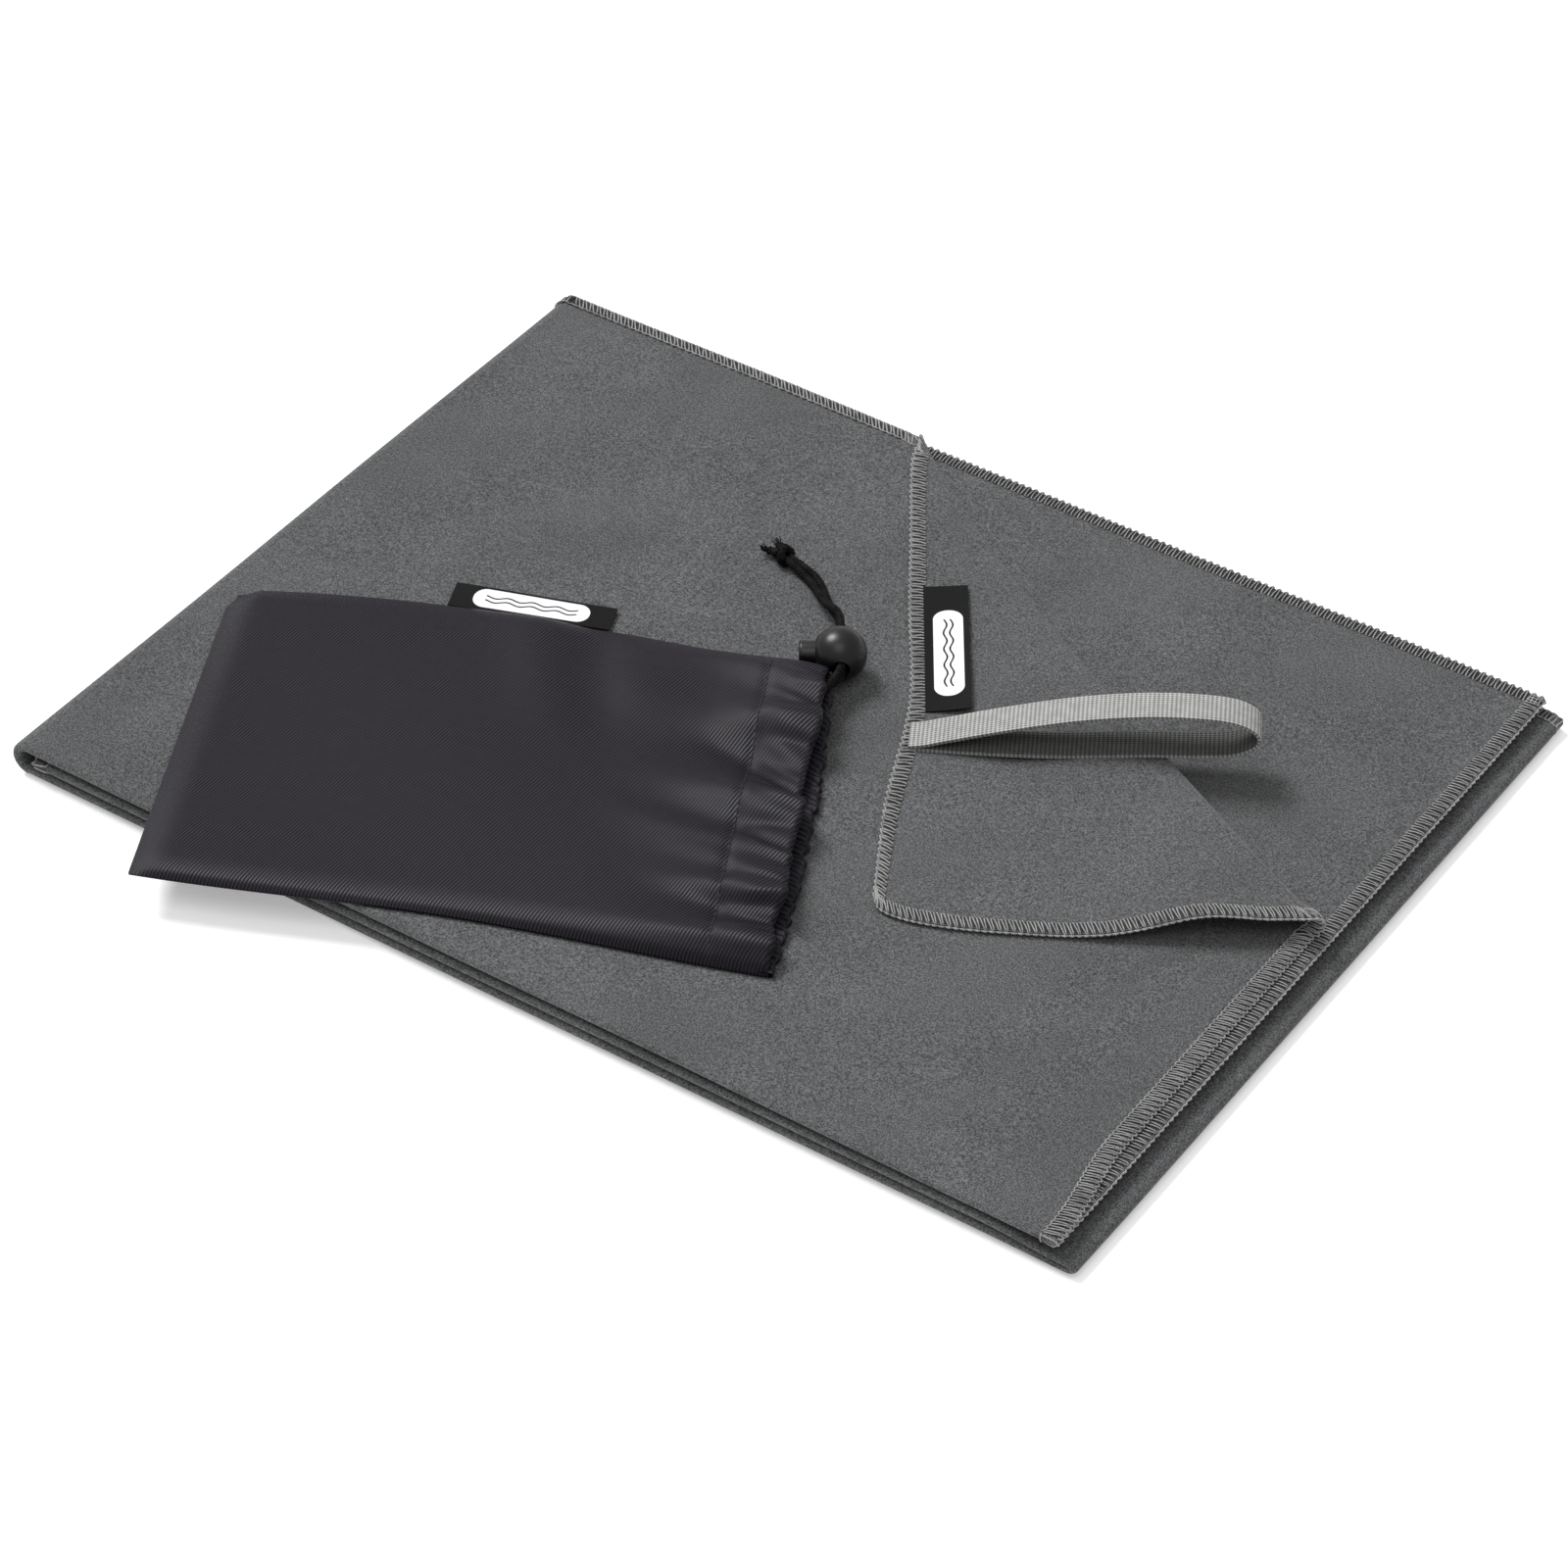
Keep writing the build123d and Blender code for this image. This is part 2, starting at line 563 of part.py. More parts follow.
with BuildPart() as drawcord:
    with BuildLine() as cord_path:
        draw_strand(1)
        draw_strand(-1)
        ThreePointArc(
            casing_point(CORD_TURN, CORD_RUN_INSET - CORD_RUN_PITCH / 2),
            casing_point(CORD_TURN - CORD_RUN_PITCH / 2, CORD_RUN_INSET),
            casing_point(CORD_TURN, CORD_RUN_INSET + CORD_RUN_PITCH / 2),
        )
    with BuildSketch(Plane(origin=cord_path.wire() @ 0, z_dir=cord_path.wire() % 0)):
        Circle(CORD / 2)
    sweep(path=cord_path.wire())
    with Locations(knot_centre):
        Sphere(KNOT_RADIUS + REST_GAP, mode=Mode.SUBTRACT)

with BuildPart() as cord_knot:
    with Locations(knot_centre):
        Sphere(KNOT_RADIUS)

with BuildPart() as cord_ends:
    for lean in (-CORD_END_SPREAD, CORD_END_SPREAD):
        angle = radians(CORD_ENDS_ANGLE + lean)
        outward = Vector(cos(angle), sin(angle))
        end_low = Vector(knot_centre.X, knot_centre.Y, bed + CORD / 2) + outward * KNOT_RADIUS
        with BuildSketch(Plane(origin=end_low, z_dir=outward)):
            Circle(CORD / 2)
        extrude(amount=CORD_END_LENGTH)
    with Locations(knot_centre):
        Sphere(KNOT_RADIUS + REST_GAP, mode=Mode.SUBTRACT)

pieces = {
    "base_cloth": base_cloth,
    "base_side_hem": base_side_hem,
    "middle_end_hem": middle_end_hem,
    "left_fold_cloth": left_fold_cloth,
    "left_fold_hem": left_fold_hem,
    "top_cloth": top_cloth,
    "top_side_hem": top_side_hem,
    "top_end_hem": top_end_hem,
    "corner_roll": corner_roll,
    "flap_cloth": flap_cloth,
    "flap_hem": flap_hem,
    "hanging_loop": hanging_loop,
    "towel_label": towel_label,
    "pouch_back_panel": pouch_back_panel,
    "pouch_front_panel": pouch_front_panel,
    "casing_stitching": casing_stitching,
    "pouch_label": pouch_label,
    "cord_lock_ball": cord_lock_ball,
    "cord_lock_plunger": cord_lock_plunger,
    "cord_lock_spring": cord_lock_spring,
    "drawcord": drawcord,
    "cord_knot": cord_knot,
    "cord_ends": cord_ends,
}

os.makedirs("parts", exist_ok=True)
for name, piece in pieces.items():
    piece.part.label = name
    export_step(piece.part, f"parts/{name}.step")
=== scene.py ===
"""Looks of a folded travel towel and its drawstring pouch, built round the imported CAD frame.

Lengths here are millimetres in the frame's own axes, and become metres when a mesh is made.
"""

from math import cos, pi, radians, sin

import bpy
import numpy as np
from mathutils import Matrix, Vector


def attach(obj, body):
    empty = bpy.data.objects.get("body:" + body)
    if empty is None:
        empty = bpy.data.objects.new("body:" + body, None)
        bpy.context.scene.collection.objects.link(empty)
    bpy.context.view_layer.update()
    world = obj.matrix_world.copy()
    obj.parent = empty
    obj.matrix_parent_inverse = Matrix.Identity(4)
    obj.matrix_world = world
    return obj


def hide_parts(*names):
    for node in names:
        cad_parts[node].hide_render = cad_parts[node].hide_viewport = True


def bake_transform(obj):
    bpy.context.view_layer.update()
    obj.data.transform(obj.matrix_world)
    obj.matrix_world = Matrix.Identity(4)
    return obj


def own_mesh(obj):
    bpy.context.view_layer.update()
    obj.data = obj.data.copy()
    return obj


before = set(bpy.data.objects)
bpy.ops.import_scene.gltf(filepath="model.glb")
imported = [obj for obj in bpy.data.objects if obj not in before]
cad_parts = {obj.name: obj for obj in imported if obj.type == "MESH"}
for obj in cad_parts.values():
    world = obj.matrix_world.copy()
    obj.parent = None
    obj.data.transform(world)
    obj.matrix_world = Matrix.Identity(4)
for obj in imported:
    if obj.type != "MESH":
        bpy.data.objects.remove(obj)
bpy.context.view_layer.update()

MM = 0.001
UP = np.array([0, 0, 1.0])
rng = np.random.default_rng(7)

# Towel, as the CAD model has it
CLOTH = 0.8
HEM = 5.0
FRONT, BACK = -125.0, 125.0
LEFT_FOLD = np.array([-161.6, 4.9])      # x and z of the left fold's axis
RIGHT_FOLD = np.array([163.3, 3.2])
MIDDLE_END = -158.5
TOP_END = 160.2
HALF_GAP = 1.1                           # middle of a section to the middle of either layer
SECTION_MIDDLES = (1.5, 4.9, 8.3)
LEG_BACK, LEG_END = 197.0, 116.4
FOLD_LENGTH = np.hypot(LEG_BACK, LEG_END)
FOLD_ALONG = np.array([LEG_BACK, -LEG_END]) / FOLD_LENGTH
FOLD_OUT = np.array([LEG_END, LEG_BACK]) / FOLD_LENGTH
FOLD_START = np.array([TOP_END - LEG_BACK, BACK])
FLAP_X_PLAN = np.array([0.876, 0.482])   # the flap's short hem runs this way from its tip
FLAP_REST = 1.25                         # middle of the flap above the middle of the layer it lies on

# Pouch, corners in plan
TAIL_FRONT = np.array([-106.0, -149.0])
TAIL_BACK = np.array([-157.0, -42.6])
MOUTH_FRONT = np.array([53.5, -87.0])
MOUTH_BACK = np.array([3.4, 15.2])
BED = 9.85

# Cord lock
BALL = np.array([-0.4, 22.9, 17.35])
LOCK_OUT = np.array([cos(radians(213.76)), sin(radians(213.76)), 0.0])
CORD_OUT = np.array([LOCK_OUT[1], -LOCK_OUT[0], 0.0])
CORD_RADIUS = 1.1


def smooth(t):
    t = np.clip(t, 0, 1)
    return t * t * (3 - 2 * t)


def unit(v):
    return v / np.linalg.norm(v, axis=-1, keepdims=True)


# ---------------------------------------------------------------- mesh helpers
def grid_faces(rows, cols, first=0):
    corner = first + np.arange((rows - 1) * cols).reshape(rows - 1, cols)[:, :-1].ravel()
    return np.stack([corner, corner + 1, corner + cols + 1, corner + cols], axis=1).tolist()


def make_piece(name, points, faces, material, uv=None, sharp=None):
    mesh = bpy.data.meshes.new(name)
    mesh.from_pydata((points * MM).tolist(), [], faces)
    mesh.polygons.foreach_set("use_smooth", [True] * len(mesh.polygons))
    if uv is not None:
        corners = np.zeros(len(mesh.loops), int)
        mesh.loops.foreach_get("vertex_index", corners)
        mesh.uv_layers.new(name="cloth").data.foreach_set("uv", uv[corners].ravel())
    if sharp:
        mesh.set_sharp_from_angle(angle=radians(sharp))
    mesh.update()
    obj = bpy.data.objects.new(name, mesh)
    bpy.context.scene.collection.objects.link(obj)
    obj.data.materials.append(material)
    return obj


def merge(points, faces, *values):
    """Joins points that lie on each other. Each array of values goes with its point."""
    _, first, index = np.unique(
        np.round(points, 3), axis=0, return_index=True, return_inverse=True
    )
    index = index.ravel()
    joined = []
    for face in faces:
        corners = list(dict.fromkeys(int(index[v]) for v in face))
        if len(corners) > 2:
            joined.append(corners)
    return points[first], joined, *[v[first] for v in values]


def point_normals(points, faces):
    normals = np.zeros_like(points)
    for size in (3, 4):
        group = np.array([f for f in faces if len(f) == size], int)
        if len(group):
            p = points[group]
            across = np.cross(p[:, -1] - p[:, 1], p[:, 2] - p[:, 0]) if size == 4 else np.cross(
                p[:, 2] - p[:, 0], p[:, 1] - p[:, 0]
            )
            for k in range(size):
                np.add.at(normals, group[:, k], -across)
    return unit(normals)


def thicken(points, faces, thick):
    """A closed sheet round a middle surface. Returns points, faces and each point's origin."""
    offset = point_normals(points, faces) * np.asarray(thick).reshape(-1, 1) / 2
    count = len(points)
    edges = {}
    for face in faces:
        for a, b in zip(face, face[1:] + face[:1]):
            edges[(a, b)] = True
    rim = [[b, a, a + count, b + count] for a, b in edges if (b, a) not in edges]
    under = [[v + count for v in reversed(face)] for face in faces]
    solid = np.vstack([points + offset, points - offset])
    return solid, [list(f) for f in faces] + under + rim, np.tile(np.arange(count), 2)


def tube(path, radius, reference, sides=5):
    """Round thread along a path. The reference vectors never run along it."""
    along = unit(np.gradient(path, axis=0))
    first = unit(reference - along * np.sum(reference * along, axis=1, keepdims=True))
    second = np.cross(along, first)
    angle = np.arange(sides) * 2 * pi / sides
    radius = np.broadcast_to(np.asarray(radius, float), (len(path),))[:, None, None]
    ring = first[:, None] * np.cos(angle)[:, None] + second[:, None] * np.sin(angle)[:, None]
    points = (path[:, None] + ring * radius).reshape(-1, 3)
    start = np.arange((len(path) - 1) * sides).reshape(-1, sides)
    after = np.roll(start, -1, axis=1)
    quads = np.stack([start, after, after + sides, start + sides], axis=2).reshape(-1, 4)
    last = (len(path) - 1) * sides
    caps = [list(range(sides))[::-1], list(range(last, last + sides))]
    return points, quads.tolist() + caps


def bundle(parts):
    """One list of points and faces from several tubes."""
    points, faces, first = [], [], 0
    for p, f in parts:
        points.append(p)
        faces += [[v + first for v in face] for face in f]
        first += len(p)
    return np.vstack(points), faces


def curve_through(knots, count):
    """Smooth line through the given places, as evenly spaced points."""
    k = np.vstack([2 * knots[0] - knots[1], knots, 2 * knots[-1] - knots[-2]])
    t = np.linspace(0, len(knots) - 1 - 1e-9, 40 * len(knots))
    i = t.astype(int)
    u = (t - i)[:, None]
    a, b, c, d = k[i], k[i + 1], k[i + 2], k[i + 3]
    line = 0.5 * (
        2 * b + (c - a) * u + (2 * a - 5 * b + 4 * c - d) * u**2 + (3 * b - a - 3 * c + d) * u**3
    )
    return resample(line, count)


def resample(line, count):
    step = np.r_[0, np.cumsum(np.linalg.norm(np.diff(line, axis=0), axis=1))]
    at = np.linspace(0, step[-1], count)
    return np.stack([np.interp(at, step, line[:, k]) for k in range(3)], axis=1)


def bend_between(obj, low_body, high_body, share):
    """Bakes a piece's place into its mesh."""
    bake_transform(obj)


def hand_over(piece, bodies, nodes, share=None):
    """Hangs a piece on the body it moves with, and hides the CAD nodes it takes the place of.
    With a share for each point, it is hung on no body; its place is baked into its mesh."""
    if share is None:
        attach(piece, bodies)
    else:
        bend_between(piece, *bodies, share)
    if nodes:
        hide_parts(*nodes)


# ---------------------------------------------------------------- materials
class Surface:
    """A procedural material in the making. Its methods add nodes and return their outputs."""

    def __init__(self, name):
        self.material = bpy.data.materials.new(name)
        self.material.use_nodes = True
        self.tree = self.material.node_tree
        self.shader = self.tree.nodes["Principled BSDF"]
        self.set({"Specular IOR Level": 0.3})

    def feed(self, socket, value):
        if isinstance(value, bpy.types.NodeSocket):
            self.tree.links.new(value, socket)
        else:
            socket.default_value = value

    def set(self, inputs):
        for name, value in inputs.items():
            self.feed(self.shader.inputs[name], value)

    def add(self, kind, output, inputs, **settings):
        node = self.tree.nodes.new("ShaderNode" + kind)
        for name, value in settings.items():
            setattr(node, name, value)
        for name, value in inputs.items():
            self.feed(node.inputs[name], value)
        return node.outputs[output]

    def place(self):
        return self.add("TexCoord", "Object", {})

    def on_cloth(self):
        """Millimetres along and across the cloth."""
        return self.add("UVMap", "UV", {}, uv_map="cloth")

    def noise(self, vector, scale, detail, roughness):
        settings = {"Vector": vector, "Scale": scale, "Detail": detail, "Roughness": roughness}
        return self.add("TexNoise", "Fac", settings)

    def ramp(self, value, *stops):
        ramp = self.add("ValToRGB", "Color", {"Fac": value})
        for element, (position, colour) in zip(ramp.node.color_ramp.elements, stops):
            element.position = position
            element.color = (*colour, 1)
        return ramp

    def mix(self, first, second, factor=1.0, kind="MULTIPLY"):
        inputs = {"Factor": factor, "A": first, "B": second}
        return self.add("Mix", "Result", inputs, data_type="RGBA", blend_type=kind)

    def math(self, kind, first, second=0):
        return self.add("Math", "Value", {0: first, 1: second}, operation=kind)

    def bump(self, height, distance, strength):
        inputs = {"Distance": distance * MM, "Strength": strength, "Height": height}
        self.set({"Normal": self.add("Bump", "Normal", inputs)})


def grey(value, tint=(1.0, 1.0, 1.0)):
    return tuple(value * t for t in tint)


def suede_material():
    """Brushed microfibre: short nap that lies in patches, so it mottles."""
    surface = Surface("towel_suede")
    place = surface.place()
    grain = surface.noise(place, 2300, 2, 0.5)
    nap = surface.noise(place, 900, 4, 0.65)
    patches = surface.noise(place, 30, 5, 0.66)
    tint = (0.985, 1.0, 1.025)
    colour = surface.ramp(grain, (0.37, grey(0.05, tint)), (0.63, grey(0.166, tint)))
    colour = surface.mix(colour, surface.ramp(nap, (0.36, grey(0.68)), (0.64, grey(1.0))))
    colour = surface.mix(colour, surface.ramp(patches, (0.38, grey(0.84)), (0.62, grey(1.0))))
    surface.set({
        "Base Color": colour, "Roughness": 0.95, "Specular IOR Level": 0.15,
        "Sheen Weight": 0.12, "Sheen Roughness": 0.5,
    })
    surface.bump(surface.math("ADD", grain, nap), 0.12, 0.6)
    return surface.material


def thread_material(name, dark, light, roughness, tint=(1.0, 1.0, 1.0), specular=0.12):
    """Twisted yarn: fine plies and a slight change of tone from stitch to stitch."""
    surface = Surface(name)
    place = surface.place()
    plies = surface.noise(place, 2600, 2, 0.5)
    tone = surface.noise(place, 260, 3, 0.6)
    value = surface.math("MULTIPLY", surface.math("ADD", plies, tone), 0.5)
    colour = surface.ramp(value, (0.38, grey(dark, tint)), (0.62, grey(light, tint)))
    surface.set({
        "Base Color": colour, "Roughness": roughness, "Sheen Weight": 0.02,
        "Specular IOR Level": specular,
    })
    surface.bump(plies, 0.06, 0.7)
    return surface.material


def woven(name, pitches, tones, roughness, depth, tint=(1.0, 1.0, 1.0), turn=0.0, across=0.32):
    """Woven cloth: ribs of two pitches that cross, turned by an angle on the cloth. Across is
    the second set's share. Returns the surface and its colour."""
    surface = Surface(name)
    vector = surface.on_cloth()
    turned = surface.add("Mapping", "Vector", {"Rotation": (0, 0, radians(turn)), "Vector": vector})
    ribs = []
    for pitch, direction, share in zip(pitches, "XY", (1 - across, across)):
        inputs = {
            "Scale": 2 * pi / (20 * pitch), "Distortion": 0.25, "Detail": 1.0,
            "Detail Scale": 2.0, "Vector": turned,
        }
        wave = surface.add("TexWave", "Fac", inputs, bands_direction=direction)
        ribs.append(surface.math("MULTIPLY", wave, share))
    weave = surface.math("ADD", *ribs)
    slub = surface.noise(vector, 0.35, 4, 0.6)
    colour = surface.ramp(weave, (0.1, grey(tones[0], tint)), (0.9, grey(tones[1], tint)))
    colour = surface.mix(colour, surface.ramp(slub, (0.35, grey(0.82)), (0.65, grey(1.0))))
    surface.set({"Base Color": colour, "Roughness": roughness})
    surface.bump(weave, depth, 0.8)
    return surface, colour


def twill_material():
    aubergine = (1.0, 0.82, 1.22)
    surface, _ = woven("pouch_twill", (0.85, 0.6), (0.001, 0.024), 0.42, 0.13, aubergine, 28, 0.15)
    surface.set({"Specular IOR Level": 0.16})
    return surface.material


def elastic_material(name, tones, roughness, tint):
    surface, _ = woven(name, (1.25, 0.85), tones, roughness, 0.22, tint, across=0.5)
    return surface.material


def plastic_material():
    """Moulded plastic with a fine spark-eroded grain and handling marks."""
    surface = Surface("lock_plastic")
    place = surface.place()
    grain = surface.noise(place, 2200, 3, 0.6)
    marks = surface.noise(place, 180, 5, 0.7)
    surface.set({
        "Base Color": surface.ramp(marks, (0.3, grey(0.0035)), (0.7, grey(0.0065))),
        "Roughness": surface.ramp(marks, (0.3, grey(0.3)), (0.7, grey(0.42))),
        "Specular IOR Level": 0.42,
    })
    surface.bump(grain, 0.03, 0.5)
    return surface.material


def steel_material():
    """Drawn spring wire."""
    surface = Surface("spring_steel")
    drawn = surface.noise(surface.place(), 900, 3, 0.6)
    colour = surface.ramp(drawn, (0.3, grey(0.42)), (0.7, grey(0.6)))
    surface.set({"Base Color": colour, "Metallic": 1.0, "Roughness": 0.3})
    surface.bump(drawn, 0.02, 0.5)
    return surface.material


SUEDE = suede_material()
HEM_THREAD = thread_material("hem_thread", 0.19, 0.37, 0.85, (1.0, 1.0, 0.99))
# Dark tones for the sheet under the hem's loops: painted shade in the gaps between the stitches.
HEM_SHADE_WEB = thread_material("hem_shade_web", 0.022, 0.05, 0.9)
CORD_YARN = thread_material("cord_yarn", 0.0, 0.014, 0.6, specular=0.04)
POUCH_THREAD = thread_material("pouch_thread", 0.02, 0.045, 0.7, (1.0, 0.95, 1.08))
PLASTIC = plastic_material()
STEEL = steel_material()
TWILL = twill_material()
ELASTIC = elastic_material("elastic_band", (0.14, 0.5), 0.75, (1.0, 0.995, 0.97))
# A darker copy of the elastic for the band's inner faces: painted shade where the two strands shade
# each other.
ELASTIC_INSIDE_SHADE = elastic_material("elastic_inside_painted_shade", (0.02, 0.13), 0.8, (1.0, 0.99, 0.96))


# ---------------------------------------------------------------- towel: places on the cloth
def ripple(x, y):
    """Slow unevenness of the stack, which the eye reads as cloth."""
    return 0.16 * np.sin(x / 31 + 0.8) * np.sin(y / 27 + 0.4) + 0.1 * np.sin(x / 17 - y / 23)


def section_profile(rows, pinch):
    """Across a section from the lower layer's back edge, round the front fold, to the upper
    layer's. Returns y and height from the section's middle. Pinch lifts the lower layer."""
    run = np.linspace(BACK, FRONT + CLOTH / 2 + HALF_GAP, rows)
    turn = np.linspace(-pi / 2, pi / 2, 9)[1:-1]
    centre = FRONT + CLOTH / 2 + HALF_GAP * (1 - pinch / 2)
    half = HALF_GAP * (1 - pinch / 2)
    squeeze = smooth((run - 28 - FRONT) / -28) * pinch * HALF_GAP
    y = np.r_[run, centre - half * np.cos(turn), run[::-1]]
    middle = HALF_GAP * pinch / 2
    z = np.r_[-HALF_GAP + squeeze, middle + half * np.sin(turn), np.full(rows, HALF_GAP)]
    return y, z


def settle(points):
    """Lets the stack's right end drop to its crease, and gives the stack its unevenness."""
    x, y, z = points.T
    drop = 1 - 0.42 * smooth((x - 138) / 26)
    floor = CLOTH / 2
    height = np.clip((z - 3.0) / 4, 0, 1)
    low = floor + (z - floor) * np.where(z < 6.6, drop, 1)
    return np.stack([x, y, low + ripple(x, y) * height], axis=1)


def base_point(path, y, z):
    """Bottom and middle sections: path runs along the bottom, round the right fold and back."""
    run = RIGHT_FOLD[0] - LEFT_FOLD[0]
    radius = RIGHT_FOLD[1] - z
    turn = np.clip((path - run) / pi, 0, 1) * pi
    back = np.clip(path - run - pi, 0, None)
    x = LEFT_FOLD[0] + np.clip(path, 0, run) - back + radius * np.sin(turn)
    height = RIGHT_FOLD[1] - radius * np.cos(turn)
    return settle(np.stack([x, y, height], axis=-1).reshape(-1, 3))


BASE_PATH = np.r_[
    np.linspace(0, RIGHT_FOLD[0] - LEFT_FOLD[0], 70),
    RIGHT_FOLD[0] - LEFT_FOLD[0] + np.linspace(0, pi, 11)[1:],
    RIGHT_FOLD[0] - LEFT_FOLD[0] + pi + np.linspace(0, RIGHT_FOLD[0] - MIDDLE_END, 70)[1:],
]


def end_shift(x, y):
    """The topmost layer's end edge lies short of the one below, except at the front fold."""
    return -3.9 * smooth((y - FRONT - 4) / 34) * smooth((x - 100) / 60)


def fold_offset(a, bowed=1.0):
    """How far the real fold line lies from the straight one, in plan. Bowed scales its bow."""
    share = a / FOLD_LENGTH
    inset = 2 + share
    bow = inset + bowed * 8.5 * np.clip(np.sin(pi * np.clip(share, 0, 1)), 0, 1) ** 0.7
    slide = inset * (LEG_END / LEG_BACK * share**3 - LEG_BACK / LEG_END * (1 - share) ** 3)
    return -bow[..., None] * FOLD_OUT + slide[..., None] * FOLD_ALONG


def back_hem_offset(run):
    """Sway of the flap's long hem, by the distance from the fold's start."""
    sway = -1.3 * np.exp(-((run / 42) ** 2)) + 2.4 * np.exp(-(((run - 114) / 26) ** 2))
    return sway + 1.0 * smooth(run / 90) - 1.6 * smooth((run - 128) / 40)


def fold_coordinates(x, y):
    rel = np.stack([x, y], axis=-1) - FOLD_START
    return rel @ FOLD_ALONG, rel @ FOLD_OUT


def top_gap(x):
    """The two layers of the top section close up towards their end."""
    return 1 - 0.36 * smooth((x - 100) / 60)


def layer_one(x, y):
    """A place on the topmost layer, from its place on the flat cloth."""
    a, d = fold_coordinates(x, y)
    a = np.clip(a, 0, FOLD_LENGTH)
    near = 1 - smooth(-d / 55)
    plan = np.stack([x + end_shift(x, y), y], axis=-1) + fold_offset(a) * near[..., None]
    z = SECTION_MIDDLES[2] - HALF_GAP + 2 * HALF_GAP * top_gap(x) + ripple(x, y)
    return np.concatenate([plan, z[..., None]], axis=-1)


def lower_layer(x, y, z):
    """A place on the top section's lower layer. z is its height from the section's middle."""
    height = SECTION_MIDDLES[2] - HALF_GAP + (z + HALF_GAP) * top_gap(x) + ripple(x, y)
    return np.stack([x, y, height], axis=1)


def roll_radius(a):
    return 0.5 + 2.7 * smooth(a / FOLD_LENGTH * 1.05)


def fold_line(a):
    """The layer's own edge where the roll starts."""
    place = FOLD_START + a[..., None] * FOLD_ALONG
    return layer_one(place[..., 0], place[..., 1])


def roll_point(a, angle):
    base = fold_line(a)
    radius = roll_radius(a)
    out = radius * np.sin(angle)
    plan = base[..., :2] + out[..., None] * FOLD_OUT
    z = base[..., 2] + radius * (1 - np.cos(angle))
    return np.concatenate([plan, z[..., None]], axis=-1)


def flap_point(along_end, along_back):
    """A place on the turned-back corner, measured along its two hems from the tip."""
    x = TOP_END - along_back
    y = BACK - along_end
    a, d = fold_coordinates(x, y)
    a = np.clip(a, 0, FOLD_LENGTH)
    d = np.clip(d, 0, None)
    share = a / FOLD_LENGTH
    near = 1 - smooth(d / 75)
    edge = fold_line(a)
    plan = np.stack([x, y], axis=-1) - 2 * d[..., None] * FOLD_OUT
    inner = np.clip(along_end, 0, None) + 1e-9
    plan = plan + fold_offset(a, inner / (inner + 0.35 * d)) * near[..., None]
    line = FOLD_START + a[..., None] * FOLD_ALONG
    plan[..., 0] += end_shift(line[..., 0], line[..., 1]) * near
    sway = back_hem_offset(LEG_BACK - along_back) * np.exp(-along_end / 45) * smooth(d / 8)
    plan = plan + sway[..., None] * FLAP_X_PLAN
    u = np.clip(along_end / LEG_END, 0, 1)
    bow = 9.5 * np.clip(np.sin(pi * u**0.55), 0, 1) ** 0.8 * (1 - smooth(along_back / 70))
    bow = bow * smooth(d / 10) * (1 - 0.35 * smooth((u - 0.5) / 0.3))
    plan = plan + bow[..., None] * np.array([FLAP_X_PLAN[1], -FLAP_X_PLAN[0]])
    rest = SECTION_MIDDLES[2] - HALF_GAP + 2 * HALF_GAP * top_gap(plan[..., 0])
    rest = rest + ripple(plan[..., 0], plan[..., 1]) + FLAP_REST
    top = edge[..., 2] + 2 * roll_radius(a)
    width = 9 + 8.5 * (top - rest) + 12 * smooth(share * 3 - 2)
    rise = (top - rest) * (1 - smooth((d - 0.18 * width) / width))
    hump = 2.3 * np.exp(-(((d - 23) / 12) ** 2)) * smooth(share * 3 - 2) * smooth(d / 8)
    return np.concatenate([plan, (rest + rise + hump)[..., None]], axis=-1)


# ---------------------------------------------------------------- towel: cloth pieces
def cloth_piece(name, points, faces, nodes, share=None, bodies=None):
    solid, shell, origin = thicken(points, faces, CLOTH)
    piece = make_piece(name, solid, shell, SUEDE, sharp=55)
    hand_over(piece, bodies, nodes, None if share is None else share[origin])


def build_base():
    y, z = section_profile(46, 0.15)
    path, across = np.meshgrid(BASE_PATH, np.arange(len(y)), indexing="ij")
    points = base_point(path, y[across], SECTION_MIDDLES[0] + z[across])
    cloth_piece(
        "towel_base_sheet", points, grid_faces(*path.shape), ["base_cloth"], bodies="towel_base"
    )


def left_fold_point(turn, y, z):
    """The left fold turns from the bottom section up to the top section."""
    radius = z - LEFT_FOLD[1]
    x = LEFT_FOLD[0] - radius * np.sin(turn)
    return np.stack([x, y, LEFT_FOLD[1] - radius * np.cos(turn)], axis=-1)


def build_left_fold():
    y, z = section_profile(46, 0.5)
    turns = np.linspace(0, pi, 13)
    turn, across = np.meshgrid(turns, np.arange(len(y)), indexing="ij")
    points = left_fold_point(turn, y[across], SECTION_MIDDLES[2] + z[across]).reshape(-1, 3)
    points[:, 2] += ripple(points[:, 0], points[:, 1]) * (turn / pi).ravel()
    faces = [f[::-1] for f in grid_faces(*turn.shape)]
    cloth_piece(
        "towel_left_fold", points, faces, ["left_fold_cloth"],
        share=(turn / pi).ravel(), bodies=("towel_base", "top_section"),
    )


FOLD_STEPS = 40
ROLL_STEPS = 12


